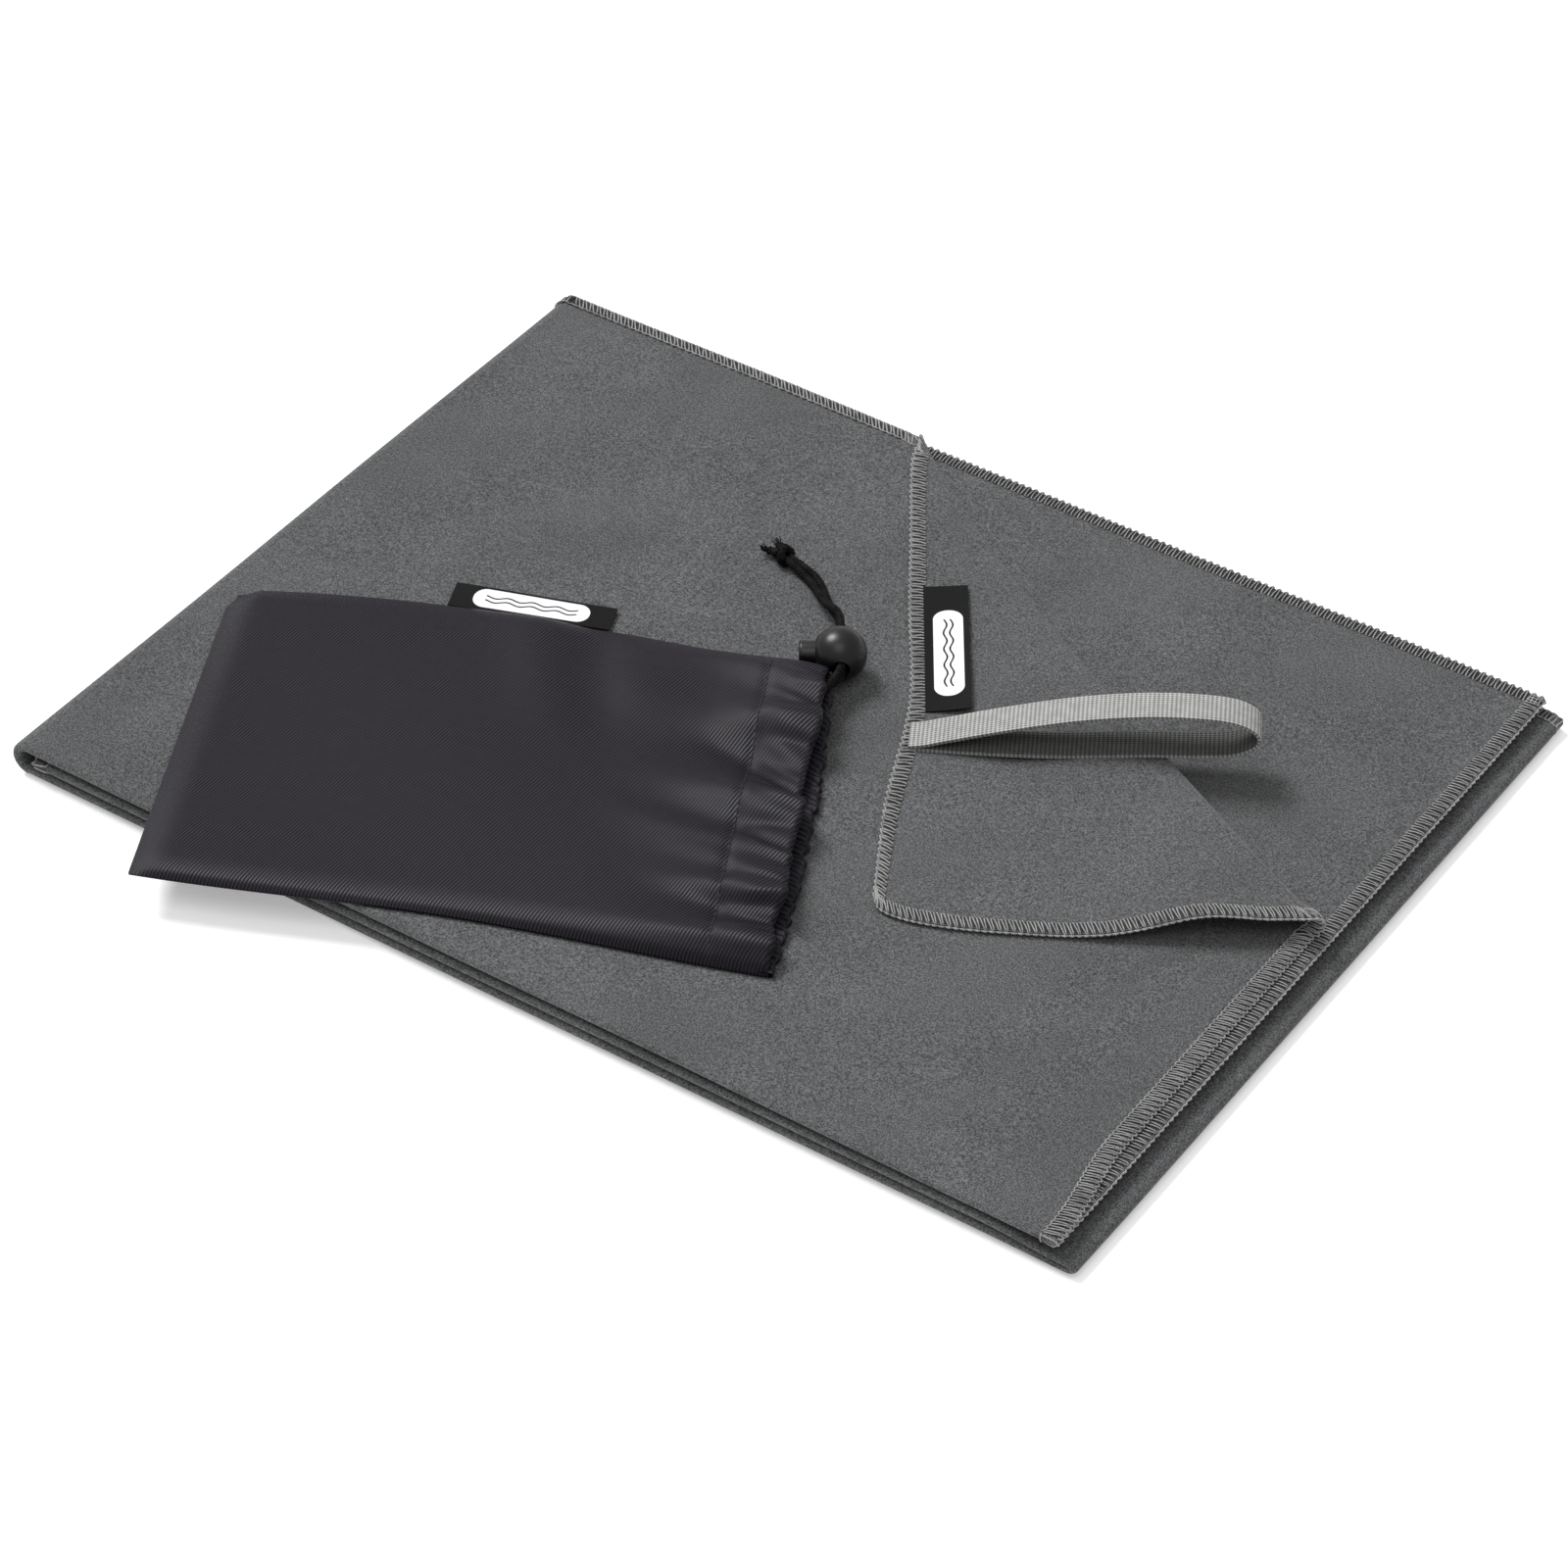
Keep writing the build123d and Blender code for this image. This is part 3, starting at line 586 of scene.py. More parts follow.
def top_layers():
    """Both layers of the top section, up to where the corner's roll starts."""
    y, z = section_profile(46, 0.5)
    lower_count = len(y) // 2 + 1
    fold_end = BACK - LEG_END
    upper = y[lower_count:]
    upper = np.r_[upper[upper < fold_end - 2], np.linspace(fold_end, BACK, FOLD_STEPS + 1)]
    columns = np.linspace(0, 1, 72)
    rows = []
    for row_y, row_z in zip(y[:lower_count], z[:lower_count]):
        x = LEFT_FOLD[0] + columns * (TOP_END - LEFT_FOLD[0])
        rows.append(lower_layer(x, np.full(len(x), row_y), row_z))
    for row_y in upper:
        end = TOP_END - max(row_y - fold_end, 0) / LEG_END * LEG_BACK
        x = LEFT_FOLD[0] + columns * (end - LEFT_FOLD[0])
        rows.append(layer_one(x, np.full(len(x), row_y)))
    return np.vstack(rows), [face[::-1] for face in grid_faces(len(rows), len(columns))]


def corner_roll(first):
    """The roll from the fold line on the topmost layer up to the flap."""
    along = np.linspace(FOLD_LENGTH, 0, FOLD_STEPS + 1)
    a, turn = np.meshgrid(along, np.linspace(0, pi, ROLL_STEPS + 1), indexing="ij")
    faces = [face[::-1] for face in grid_faces(*a.shape, first=first)]
    return roll_point(a, turn).reshape(-1, 3), faces, (turn / pi).ravel()


def corner_flap(first):
    """The turned-back corner, as a triangle of steps along its two hems."""
    index, places = {}, []
    for i in range(FOLD_STEPS + 1):
        for j in range(FOLD_STEPS + 1 - i):
            index[i, j] = first + len(places)
            places.append((LEG_END * i / FOLD_STEPS, LEG_BACK * j / FOLD_STEPS))
    faces = []
    for i in range(FOLD_STEPS):
        for j in range(FOLD_STEPS - i):
            face = [index[i, j], index[i + 1, j], index[i, j + 1]]
            if i + j < FOLD_STEPS - 1:
                face.insert(2, index[i + 1, j + 1])
            faces.append(face)
    return flap_point(*np.array(places).T), faces


def build_top():
    points, faces = top_layers()
    roll, roll_faces, roll_share = corner_roll(len(points))
    flap, flap_faces = corner_flap(len(points) + len(roll))
    share = np.r_[np.zeros(len(points)), roll_share, np.ones(len(flap))]
    points = np.vstack([points, roll, flap])
    points, faces, share = merge(points, faces + roll_faces + flap_faces, share)
    cloth_piece(
        "towel_top_sheet", points, faces, ["top_cloth", "corner_roll", "flap_cloth"],
        share=share, bodies=("top_section", "corner_flap"),
    )


# ---------------------------------------------------------------- towel: overlocked hems
OPEN_PITCH, CLOSE_PITCH, WIDE_PITCH = 2.2, 1.85, 2.5
MEANDER = np.array(
    [
        # share of the stitch, inward from the cut edge, above the cloth's middle
        (0.00, 3.75, 0.60),
        (0.05, 2.20, 0.74),
        (0.10, 0.45, 0.68),
        (0.19, -0.35, 0.25),
        (0.35, -0.35, 0.25),
        (0.44, 0.45, 0.68),
        (0.49, 2.20, 0.74),
        (0.54, 3.75, 0.60),
        (0.66, 3.95, 0.50),
        (0.88, 3.95, 0.50),
    ]
)
STRAND, WIDE_STRAND = 0.21, 0.26         # radius of the loops' yarn
NEEDLE_YARN, PURL_YARN = 0.19, 0.29
LOOSE = 0.07                             # unevenness of the stitches at the cut edge
LATE = 0.02                              # and along it, as a share of a stitch
# Section of the dark sheet under the loops, whose dark tone is painted shade.
SHADE_WEB_SECTION = ((3.9, 0.45), (2.0, 0.47), (0.3, 0.45), (-0.05, 0.2),
               (-0.05, -0.2), (0.3, -0.45), (2.0, -0.47), (3.9, -0.45))


class Edge:
    """A line along the cut edge of the cloth, with the way inward and the share of a fold."""

    def __init__(self, edge, inner, share, slim=1.0):
        step = np.linalg.norm(np.diff(edge, axis=0), axis=1)
        keep = np.r_[True, step > 1e-4]
        edge, inner, share = edge[keep], inner[keep], np.asarray(share, float)[keep]
        self.at = np.r_[0, np.cumsum(np.linalg.norm(np.diff(edge, axis=0), axis=1))]
        self.length = self.at[-1]
        self.edge = edge
        self.inward = unit(inner - edge)
        along = unit(np.gradient(edge, axis=0))
        self.up = unit(np.cross(self.inward, along))
        self.share = share
        self.slim = np.broadcast_to(slim, keep.shape)[keep]

    def value(self, array, s):
        if array.ndim == 1:
            return np.interp(s, self.at, array)
        return np.stack([np.interp(s, self.at, array[:, k]) for k in range(3)], axis=1)

    def share_at(self, s):
        return np.interp(s, self.at, self.share)

    def place(self, s, inward, up):
        s = np.clip(s, 0, self.length)
        slim = self.value(self.slim, s)
        inward = np.where(inward < 0, inward * slim, inward)
        return (
            self.value(self.edge, s)
            + unit(self.value(self.inward, s)) * inward[:, None]
            + unit(self.value(self.up, s)) * (up * slim)[:, None]
        )


def hem_threads(edge, side, pitch, skew, strand):
    """Thread of one hem: loops that lie on both faces, the needle line, and the cut edge's purl."""
    count = int(edge.length / pitch)
    pitch = edge.length / count
    parts, shares = [], []

    def lay(s, inward, up, radius, reference):
        """Yarn through these places. Where the end of the edge puts some on each other, one stays."""
        path = edge.place(s, inward, up * side)
        fresh = np.r_[True, np.linalg.norm(np.diff(path, axis=0), axis=1) > 1e-6]
        parts.append(tube(path[fresh], radius, reference[fresh]))
        shares.append(np.repeat(edge.share_at(s[fresh]), 5))

    stitch = np.repeat(np.arange(count), len(MEANDER))
    share, inward, up = np.tile(MEANDER, (count, 1)).T
    for face in (1, -1):
        loose = inward + rng.normal(0, LOOSE, len(inward)) * (inward < 1)
        s = (stitch + share + rng.normal(0, LATE, len(share)) + 0.25 * (face < 0)) * pitch
        lean = skew[0] + (skew[1] - skew[0]) * edge.share_at(s)
        s = s + lean * loose / HEM * face
        ahead, behind = (edge.place(s + step, loose, up * face * side) for step in (0.6, -0.6))
        lay(s, loose, up * face, strand, ahead - behind + 1e-6)
    fine = np.arange(count * 6 + 1) / 6
    at = fine * pitch
    upward = unit(edge.value(edge.up, at))
    zigzag = np.abs((fine % 1) - 0.5) * 2
    lay(at, 3.7 + 0.4 * zigzag, 0.8 + 0.12 * zigzag, NEEDLE_YARN, upward)
    lay(at, -0.05 - 0.75 * np.sin(pi * fine) ** 2, 0.2 * np.cos(2 * pi * fine), PURL_YARN, upward)
    points, faces = bundle(parts)
    return points, faces, np.concatenate(shares)


def hem_shade_web(edge):
    """A flat dark sheet under the loops, wrapped round the cut edge: its dark tone is painted shade
    in the gaps between the stitches.
    """
    s = np.linspace(0, edge.length, int(edge.length / 1.2) + 2)
    rings = [edge.place(s, np.full(len(s), i), np.full(len(s), u)) for i, u in SHADE_WEB_SECTION]
    sides = len(rings)
    points = np.stack(rings, axis=1).reshape(-1, 3)
    start = np.arange((len(s) - 1) * sides).reshape(-1, sides)
    after = np.roll(start, -1, axis=1)
    quads = np.stack([start, after, after + sides, start + sides], axis=2).reshape(-1, 4)
    last = (len(s) - 1) * sides
    caps = [list(range(sides))[::-1], list(range(last, last + sides))]
    return points, quads.tolist() + caps, np.repeat(edge.share_at(s), sides)


def hem_piece(name, edges, nodes, bodies, side=1, pitch=OPEN_PITCH, skew=(0.4, 0.4), strand=STRAND):
    parts, shares, web = [], [], []
    for edge in edges:
        for k, layer in enumerate((hem_threads(edge, side, pitch, skew, strand), hem_shade_web(edge))):
            points, faces, share = layer
            parts.append((points, faces))
            shares.append(share)
            web += [k] * len(faces)
    points, faces = bundle(parts)
    piece = make_piece(name, points, faces, HEM_THREAD)
    # Second slot: the dark sheet, painted shade between the stitches.
    piece.data.materials.append(HEM_SHADE_WEB)
    piece.data.polygons.foreach_set("material_index", web)
    share = None if isinstance(bodies, str) else np.concatenate(shares)
    hand_over(piece, bodies, nodes, share)


def base_edge(layer):
    """Back edge of one layer of the base, from the left fold round the right fold."""
    path = np.linspace(0, BASE_PATH[-1], 500)
    back = np.full(len(path), BACK)
    z = np.full(len(path), SECTION_MIDDLES[0] + layer * HALF_GAP)
    return Edge(base_point(path, back, z), base_point(path, back - HEM, z), path * 0)


def build_base_hems():
    hem_piece("base_outer_hem", [base_edge(-1)], ["base_side_hem"], "towel_base", side=-1)
    hem_piece("base_inner_hem", [base_edge(1)], [], "towel_base")
    y, z = section_profile(120, 0.15)
    z = SECTION_MIDDLES[0] + z
    end = np.full(len(y), BASE_PATH[-1])
    edge = Edge(base_point(end, y, z), base_point(end - HEM, y, z), y * 0)
    hem_piece("middle_end_hem_thread", [edge], ["middle_end_hem"], "towel_base")


def build_left_fold_hem():
    turn = np.linspace(0, pi, 40)
    back = np.full(len(turn), BACK)
    edges = []
    for layer in (-1, 1):
        z = np.full(len(turn), SECTION_MIDDLES[2] + layer * HALF_GAP)
        outer, inner = (left_fold_point(turn, y, z) for y in (back, back - HEM))
        edges.append(Edge(outer, inner, turn / pi))
    hem_piece("left_fold_hem_thread", edges, ["left_fold_hem"], ("towel_base", "top_section"))


def build_top_back_hem():
    """Topmost layer's back edge, over the fold's start and down the flap's long hem to its tip."""
    x = np.linspace(LEFT_FOLD[0], FOLD_START[0], 90)
    back = np.full(len(x), BACK)
    turn = np.linspace(0, pi, 16)
    start = turn * 0
    leg = np.linspace(LEG_BACK, 0, 160)
    edge = np.vstack([layer_one(x, back), roll_point(start, turn), flap_point(leg * 0, leg)])
    inner = np.vstack([
        layer_one(x, back - HEM), roll_point(start + HEM / FOLD_ALONG[0], turn),
        flap_point(leg * 0 + HEM, np.clip(leg, 0, LEG_BACK - HEM)),
    ])
    share = np.r_[x * 0, turn / pi, leg * 0 + 1]
    slim = np.r_[
        1 - 0.6 * smooth((x - FOLD_START[0] + 5) / 4), turn * 0 + 0.4,
        1 - 0.6 * smooth((leg - LEG_BACK + 7) / 5),
    ]
    hem_piece(
        "top_back_hem_thread", [Edge(edge, inner, share, slim)], ["top_side_hem", "flap_hem"],
        ("top_section", "corner_flap"), pitch=WIDE_PITCH, skew=(3.4, 0.9), strand=WIDE_STRAND,
    )


def build_top_end_hem():
    """The flap's short hem, over the hump, round the roll and along the topmost layer's end."""
    leg = np.linspace(0, LEG_END, 110)
    turn = np.linspace(0, pi, 16)[::-1]
    fold_end = np.full(len(turn), FOLD_LENGTH)
    run = np.linspace(BACK - LEG_END, FRONT + CLOTH / 2 + HALF_GAP, 110)
    end = np.full(len(run), TOP_END)
    edge = np.vstack([flap_point(leg, leg * 0), roll_point(fold_end, turn), layer_one(end, run)])
    inner = np.vstack([
        flap_point(np.clip(leg, 0, LEG_END - HEM / 2), leg * 0 + HEM),
        roll_point(fold_end - HEM * 1.1, turn), layer_one(end - HEM, run),
    ])
    share = np.r_[leg * 0 + 1, turn / pi, run * 0]
    hem_piece(
        "top_end_hem_thread", [Edge(edge, inner, share)], ["top_end_hem"],
        ("top_section", "corner_flap"), pitch=CLOSE_PITCH, skew=(1.5, 1.5),
    )


def build_top_lower_hem():
    """Layer below: round the front fold, along its end edge, then along its back edge."""
    y, z = section_profile(120, 0.5)
    below = np.arange(len(y)) <= len(y) // 2 + 3
    y, z = y[below][::-1], z[below][::-1]
    end = np.full(len(y), TOP_END)
    end_edge = Edge(lower_layer(end, y, z), lower_layer(end - HEM, y, z), y * 0)
    x = np.linspace(TOP_END, LEFT_FOLD[0], 160)
    back = np.full(len(x), BACK)
    low = np.full(len(x), -HALF_GAP)
    back_edge = Edge(lower_layer(x, back, low), lower_layer(x, back - HEM, low), x * 0)
    hem_piece("top_lower_hem_thread", [end_edge, back_edge], [], "top_section")


# ---------------------------------------------------------------- hanging loop and labels
TILT = radians(2.856)                    # of the flap, rising from its tip towards the fold
FLAP_X = unit(np.append(FLAP_X_PLAN * cos(TILT), sin(TILT)))
FLAP_Y = np.array([-FLAP_X_PLAN[1], FLAP_X_PLAN[0], 0.0])
FLAP_UP = np.cross(FLAP_X, FLAP_Y)
OVER_HEM = 0.75                          # of what is sewn on, above the middle of the flap
LABEL_SEAM = 4.6
LABEL_ENDS = (75.0, 129.0)
LOOP_AT = 64.0
LOOP_WIDTH = 9.98
LOOP_BAND = 0.9
LOOP_REACH = 91.0
LOOP_STEPS = 330
LOOP_FLATTENED = 2.8                     # the flattened loop, above the middle of the flap


def build_loop():
    base = flap_point(np.array([3.0]), np.array([LOOP_AT]))[0] + OVER_HEM * UP
    knots = np.array([
        # along the loop from the hem, and up
        (-1.5, -0.3), (3, 0.0), (16, 0.5), (36, 1.7), (52, 3.3), (64, 4.2), (76, 4.6),
        (85, 5.6), (90.6, 9.2), (89.0, 13.6), (81, 16.0), (64, 15.4), (44, 12.2), (24, 7.3),
        (8, 2.9), (2.5, 1.35), (-1.5, 0.8),
    ])
    side = curve_through(np.c_[knots[:, 0], knots[:, 0] * 0, knots[:, 1]], LOOP_STEPS)
    path = base + side[:, :1] * unit(FLAP_X * (1, 1, 0)) + side[:, 2:] * UP
    along = unit(np.gradient(path, axis=0))
    width = np.linspace(-0.5, 0.5, 21)
    lower_strand = np.arange(LOOP_STEPS) < LOOP_STEPS / 2
    sway = 1.6 * np.sin(side[:, 0] / LOOP_REACH * pi) * np.where(lower_strand, -1, 1)
    out = np.cross(FLAP_Y, along)
    grid = path[:, None] + width[None, :, None] * LOOP_WIDTH * FLAP_Y
    grid = grid + sway[:, None, None] * FLAP_Y
    edge_curl = 0.1 * (2 * width[None, :, None]) ** 4
    grid = grid - edge_curl * out[:, None]
    far = np.arange(len(path)) * 0.62    # millimetres along the band at each step
    uv = np.stack(np.broadcast_arrays(far[:, None], (width * LOOP_WIDTH)[None]), axis=-1)
    points = grid.reshape(-1, 3)
    solid, shell, origin = thicken(points, grid_faces(*grid.shape[:2]), LOOP_BAND)
    piece = make_piece("hanging_loop_band", solid, shell, ELASTIC, uv.reshape(-1, 2)[origin], 55)
    # The inner faces take the darker copy of the elastic: painted shade between the two strands.
    piece.data.materials.append(ELASTIC_INSIDE_SHADE)
    count = len(points)
    inside = [int(min(face) >= count) for face in shell]
    piece.data.polygons.foreach_set("material_index", inside)
    hand_over(piece, "hanging_loop", ["hanging_loop"])
    anchor = (flap_point(np.array([5.0]), np.array([LOOP_AT]))[0] + FLAP_UP * LOOP_FLATTENED) * MM
    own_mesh(piece)


def label_material(name, length, width, centre):
    """Black satin weave with a woven white patch that carries three plain wavy lines."""
    surface, base = woven(name, (0.22, 0.5), (0.002, 0.007), 0.6, 0.04)
    math = surface.math
    place = surface.add("SeparateXYZ", "X", {"Vector": surface.on_cloth()}).node.outputs
    radius = width / 2 - 0.2

    def past_straight(axis, middle, half):
        away = math("ABSOLUTE", math("SUBTRACT", place[axis], middle))
        return math("MAXIMUM", math("SUBTRACT", away, half - radius))

    x = past_straight("X", centre[0], length / 2)
    y = past_straight("Y", centre[1], width / 2)
    square = math("ADD", math("MULTIPLY", x, x), math("MULTIPLY", y, y))
    inside = math("LESS_THAN", square, radius * radius)
    wobble = math("MULTIPLY", math("SINE", math("MULTIPLY", place["X"], 0.9)), 0.45)
    level = math("SUBTRACT", math("SUBTRACT", place["Y"], centre[1]), wobble)
    off_line = math("GREATER_THAN", math("PINGPONG", math("ADD", level, 0.85), 0.85), 0.26)
    beside = math("GREATER_THAN", math("ABSOLUTE", level), 2.1)
    past_end = math("SUBTRACT", 1, math("LESS_THAN", x, 0.001))
    clear = math("MAXIMUM", math("MAXIMUM", off_line, beside), past_end)
    white = (0.78, 0.78, 0.8, 1)
    colour = surface.mix(base, white, math("MULTIPLY", inside, clear), "MIX")
    surface.set({"Base Color": colour, "Specular IOR Level": 0.1})
    return surface.material


def label_piece(name, start, end, reach, body, node, curl, patch):
    """Label from start to end along its sewn side, reaching out from it."""
    along = unit(end - start)
    length = np.linalg.norm(end - start)
    out = unit(reach - along * (reach @ along))
    width = np.linalg.norm(reach)
    u, v = np.meshgrid(np.linspace(0, 1, 60), np.linspace(0, 1, 16), indexing="ij")
    lift = curl * v**2 * (0.55 + 0.45 * np.cos(2.3 * u)) + 0.12 * np.sin(5 * u + 1) * v
    points = start + u[..., None] * length * along + v[..., None] * width * out
    points = points + lift[..., None] * UP
    uv = np.stack([u * length, v * width], axis=-1).reshape(-1, 2)
    flat = points.reshape(-1, 3)
    faces = grid_faces(*u.shape)
    solid, shell, origin = thicken(flat, faces, 0.3)
    piece = make_piece(name, solid, shell, patch, uv[origin], 50)
    hand_over(piece, body, [node])


def build_labels():
    low, high = (
        flap_point(np.array([LABEL_SEAM]), np.array([at]))[0] + OVER_HEM * UP for at in LABEL_ENDS
    )
    patch = label_material("towel_label_weave", 37, 8.2, (24.5, 6.6))
    label_piece("towel_label_tape", low, high, FLAP_X * 12.3, "towel_label", "towel_label",
                0.9, patch)
    start = np.append(pouch_side(np.array([0.345]))[1][0], BED + 0.75)
    end = np.append(pouch_side(np.array([0.345 + 46 / POUCH_LENGTH]))[1][0], BED + 1.0)
    outward = unit(np.array([-(end - start)[1], (end - start)[0], 0]))
    patch = label_material("pouch_label_weave", 33, 7.4, (22.5, 4.9))
    label_piece("pouch_label_tape", start + outward * 0.9, end + outward * 0.9, outward * 9.4,
                "pouch_label", "pouch_label", 0.5, patch)


# ---------------------------------------------------------------- pouch
POUCH_LENGTH = 171.1
POUCH_WIDTH = 113
STITCH_FROM_MOUTH = 18.0


def pouch_side(share):
    """Front and back sides in plan, at a share of the way from closed end to mouth."""
    s = share[..., None]
    front = TAIL_FRONT * (1 - s) + MOUTH_FRONT * s
    side = unit(MOUTH_FRONT - TAIL_FRONT)
    front = front + np.array([-side[1], side[0]]) * 3.2 * np.sin(pi * s) ** 2
    back = TAIL_BACK * (1 - s) + MOUTH_BACK * s
    along = unit(MOUTH_BACK - TAIL_BACK)
    back = back + np.array([-along[1], along[0]]) * 9.5 * 4 * s * (1 - s)
    return front, back


def pouch_plan(share, across):
    front, back = pouch_side(share)
    plan = front * (1 - across[..., None]) + back * across[..., None]
    rounding = smooth(1 - share * POUCH_LENGTH / 9) * smooth(1 - (1 - across) * 118 / 9)
    return plan + 2.6 * rounding[..., None] * unit(MOUTH_FRONT - TAIL_BACK)


def corner_lift(plan, height, reach):
    away = np.linalg.norm(plan - MOUTH_BACK, axis=-1)
    return height * np.exp(-((away / reach) ** 2))


class Pleats:
    """Pleats that the cord pulls into the casing, each with its own place, width and reach."""

    def __init__(self, count, width, height, reach):
        draw = np.random.default_rng(count)
        self.place = (np.arange(count) + draw.uniform(0.2, 0.8, count)) * POUCH_WIDTH / count
        self.width = draw.uniform(0.7, 1.5, count) * width
        self.height = draw.uniform(0.4, 1.0, count) * height * draw.choice([1, 1, -0.8], count)
        self.reach = draw.uniform(0.5, 1.4, count) * reach
        self.slant = draw.normal(0, 0.22, count)

    def height_at(self, share, across):
        w = across * POUCH_WIDTH
        back = (1 - share) * POUCH_LENGTH
        total = np.zeros_like(w)
        for place, width, height, reach, slant in zip(
            self.place, self.width, self.height, self.reach, self.slant
        ):
            wide = width * (1 + 0.6 * np.clip(back / reach, 0, 2))
            ridge = np.exp(-(((w - place - slant * back) / wide) ** 2))
            total += height * ridge * (1 - smooth((back - 8) / reach))
        return total * smooth(across / 0.05) * smooth((1 - across) / 0.05)


FOLDS = Pleats(13, 3.4, 3.0, 40)
CRINKLES = Pleats(30, 1.3, 0.8, 13)
EDGE_CRINKLES = Pleats(47, 0.9, 0.9, 6)


def gathers(share, across):
    return FOLDS.height_at(share, across) + CRINKLES.height_at(share, across)


def slow_swell(share, across):
    """Soft creases of a pouch that has been folded and opened again."""
    s, w = share * 171, across * 105
    swell = 1.5 * np.exp(-(((s - 118) / 17) ** 2 + ((w - 84) / 13) ** 2))
    swell += 1.1 * np.exp(-(((s - 84 - 0.3 * (105 - w)) / 10) ** 2)) * smooth((w - 50) / 40)
    swell -= 1.2 * np.exp(-(((s - 101 - 0.25 * (105 - w)) / 8) ** 2)) * smooth((w - 55) / 35)
    swell += 0.45 * np.sin(s / 19 + 1) * np.sin(w / 21 + 2)
    return swell


def upper_height(share, across, plan):
    """Height of the upper panel over the bed."""
    s = share
    ends = smooth(s * POUCH_LENGTH / 9) ** 0.6
    from_side = np.minimum(across, 1 - across) * 105
    edge = np.sqrt(np.clip(1 - (1 - np.clip(from_side / 7, 0, 1)) ** 2, 0, 1))
    crown = 2.0 + 1.4 * s + 1.4 * smooth((s - 0.55) / 0.45)
    crown = crown + 1.4 * smooth((s - 0.1) / 0.6) * np.sin(pi * across)
    casing = 0.35 * np.sin(pi * np.clip((s * POUCH_LENGTH - 153.5) / 17, 0, 1)) ** 0.8
    pinch = -0.35 * np.exp(-(((s * POUCH_LENGTH - 153.1) / 1.6) ** 2))
    body = crown + slow_swell(s, across) + gathers(s, across) + casing + pinch
    lift = corner_lift(plan, 6.4, 27) * (0.75 + 0.25 * across)
    return 0.75 + (body * ends * edge) + lift


def lower_height(plan):
    return 0.35 + corner_lift(plan, 5.6, 24)


def spaced(*stretches):
    """Steps through stretches of start, end and number of steps, without the shared ends twice."""
    first, *others = (np.linspace(*stretch) for stretch in stretches)
    return np.concatenate([first, *(steps[1:] for steps in others)])


def pouch_panel(name, node, grid, far, across, thick):
    """One panel from its rows of points. Far is each row's distance along the cloth."""
    uv = np.stack(np.broadcast_arrays(far[:, None], (across * POUCH_WIDTH)[None]), axis=-1)
    solid, shell, origin = thicken(grid.reshape(-1, 3), grid_faces(*grid.shape[:2]), thick)
    piece = make_piece(name, solid, shell, TWILL, uv.reshape(-1, 2)[origin], 70)
    hand_over(piece, "pouch", [node])


MOUTH_OUT = unit(MOUTH_BACK - MOUTH_FRONT)[::-1] * (1, -1)
TURN_IN = np.linspace(0, pi, 9)[1:]      # angles at which the mouth's edge turns inside


def moved(row, out, up):
    """A row of points, moved out of the mouth and up."""
    row = row.copy()
    row[:, :2] += out * MOUTH_OUT
    row[:, 2] += up
    return row


def build_upper_panel():
    s = spaced((0, 0.12, 14), (0.12, 0.8, 70), (0.8, 0.982, 56))
    w = spaced((0, 0.08, 12), (0.08, 0.92, 150), (0.92, 1, 12))
    share, across = np.meshgrid(s, w, indexing="ij")
    plan = pouch_plan(share, across)
    scallop = 0.5 * gathers(share, across) * smooth((share - 0.93) / 0.05)
    plan = plan + scallop[..., None] * MOUTH_OUT
    z = BED + upper_height(share, across, plan)
    upper = np.concatenate([plan, z[..., None]], axis=-1)

    # the mouth edge turns down and back inside, which makes the casing
    lip = upper[-1]
    room = np.clip((lip[:, 2] - BED - 0.9) / 2.4, 0.1, 1)
    curl = [moved(lip, 1.1 * sin(a), -1.1 * (1 - cos(a)) * room) for a in TURN_IN]
    inside = []
    for step in np.linspace(0, 1, 8)[1:]:
        row = upper[-1 - int(step * 50)]
        inside.append(moved(row, 0, -np.clip((row[:, 2] - BED - 0.8) * 0.55, 0.1, 2.0)))
    grid = np.concatenate([upper, curl, inside])
    far = np.r_[s * POUCH_LENGTH, 171 + np.arange(len(curl)) * 0.4, 175 + np.arange(7) * 2.5]
    pouch_panel("pouch_upper_panel", "pouch_front_panel", grid, far, w, 0.4)


def build_lower_panel():
    s = spaced((0, 0.8, 60), (0.8, 0.992, 30))
    w = np.linspace(0, 1, 260)
    share, across = np.meshgrid(s, w, indexing="ij")
    plan = pouch_plan(share, across)
    bulge = 2.0 * np.sin(pi * across) * smooth((share - 0.7) / 0.3)
    fine = EDGE_CRINKLES.height_at(share, across)
    plan = plan + (bulge + fine)[..., None] * MOUTH_OUT
    z = BED + lower_height(plan) + 0.5 * np.abs(fine)
    lower = np.concatenate([plan, z[..., None]], axis=-1)
    curl = [moved(lower[-1], 0.75 * sin(a), 0.75 * (1 - cos(a))) for a in TURN_IN]
    steps = np.linspace(0, 1, 6)[1:]
    inside = [moved(lower[-1 - int(step * 25)], 0, 1.2 - 0.7 * step) for step in steps]
    grid = np.concatenate([lower, curl, inside])
    far = np.r_[s * POUCH_LENGTH, 171 + np.arange(len(curl)) * 0.3, 174 + np.arange(5) * 3.4]
    pouch_panel("pouch_lower_panel", "pouch_back_panel", grid, far, w, 0.35)


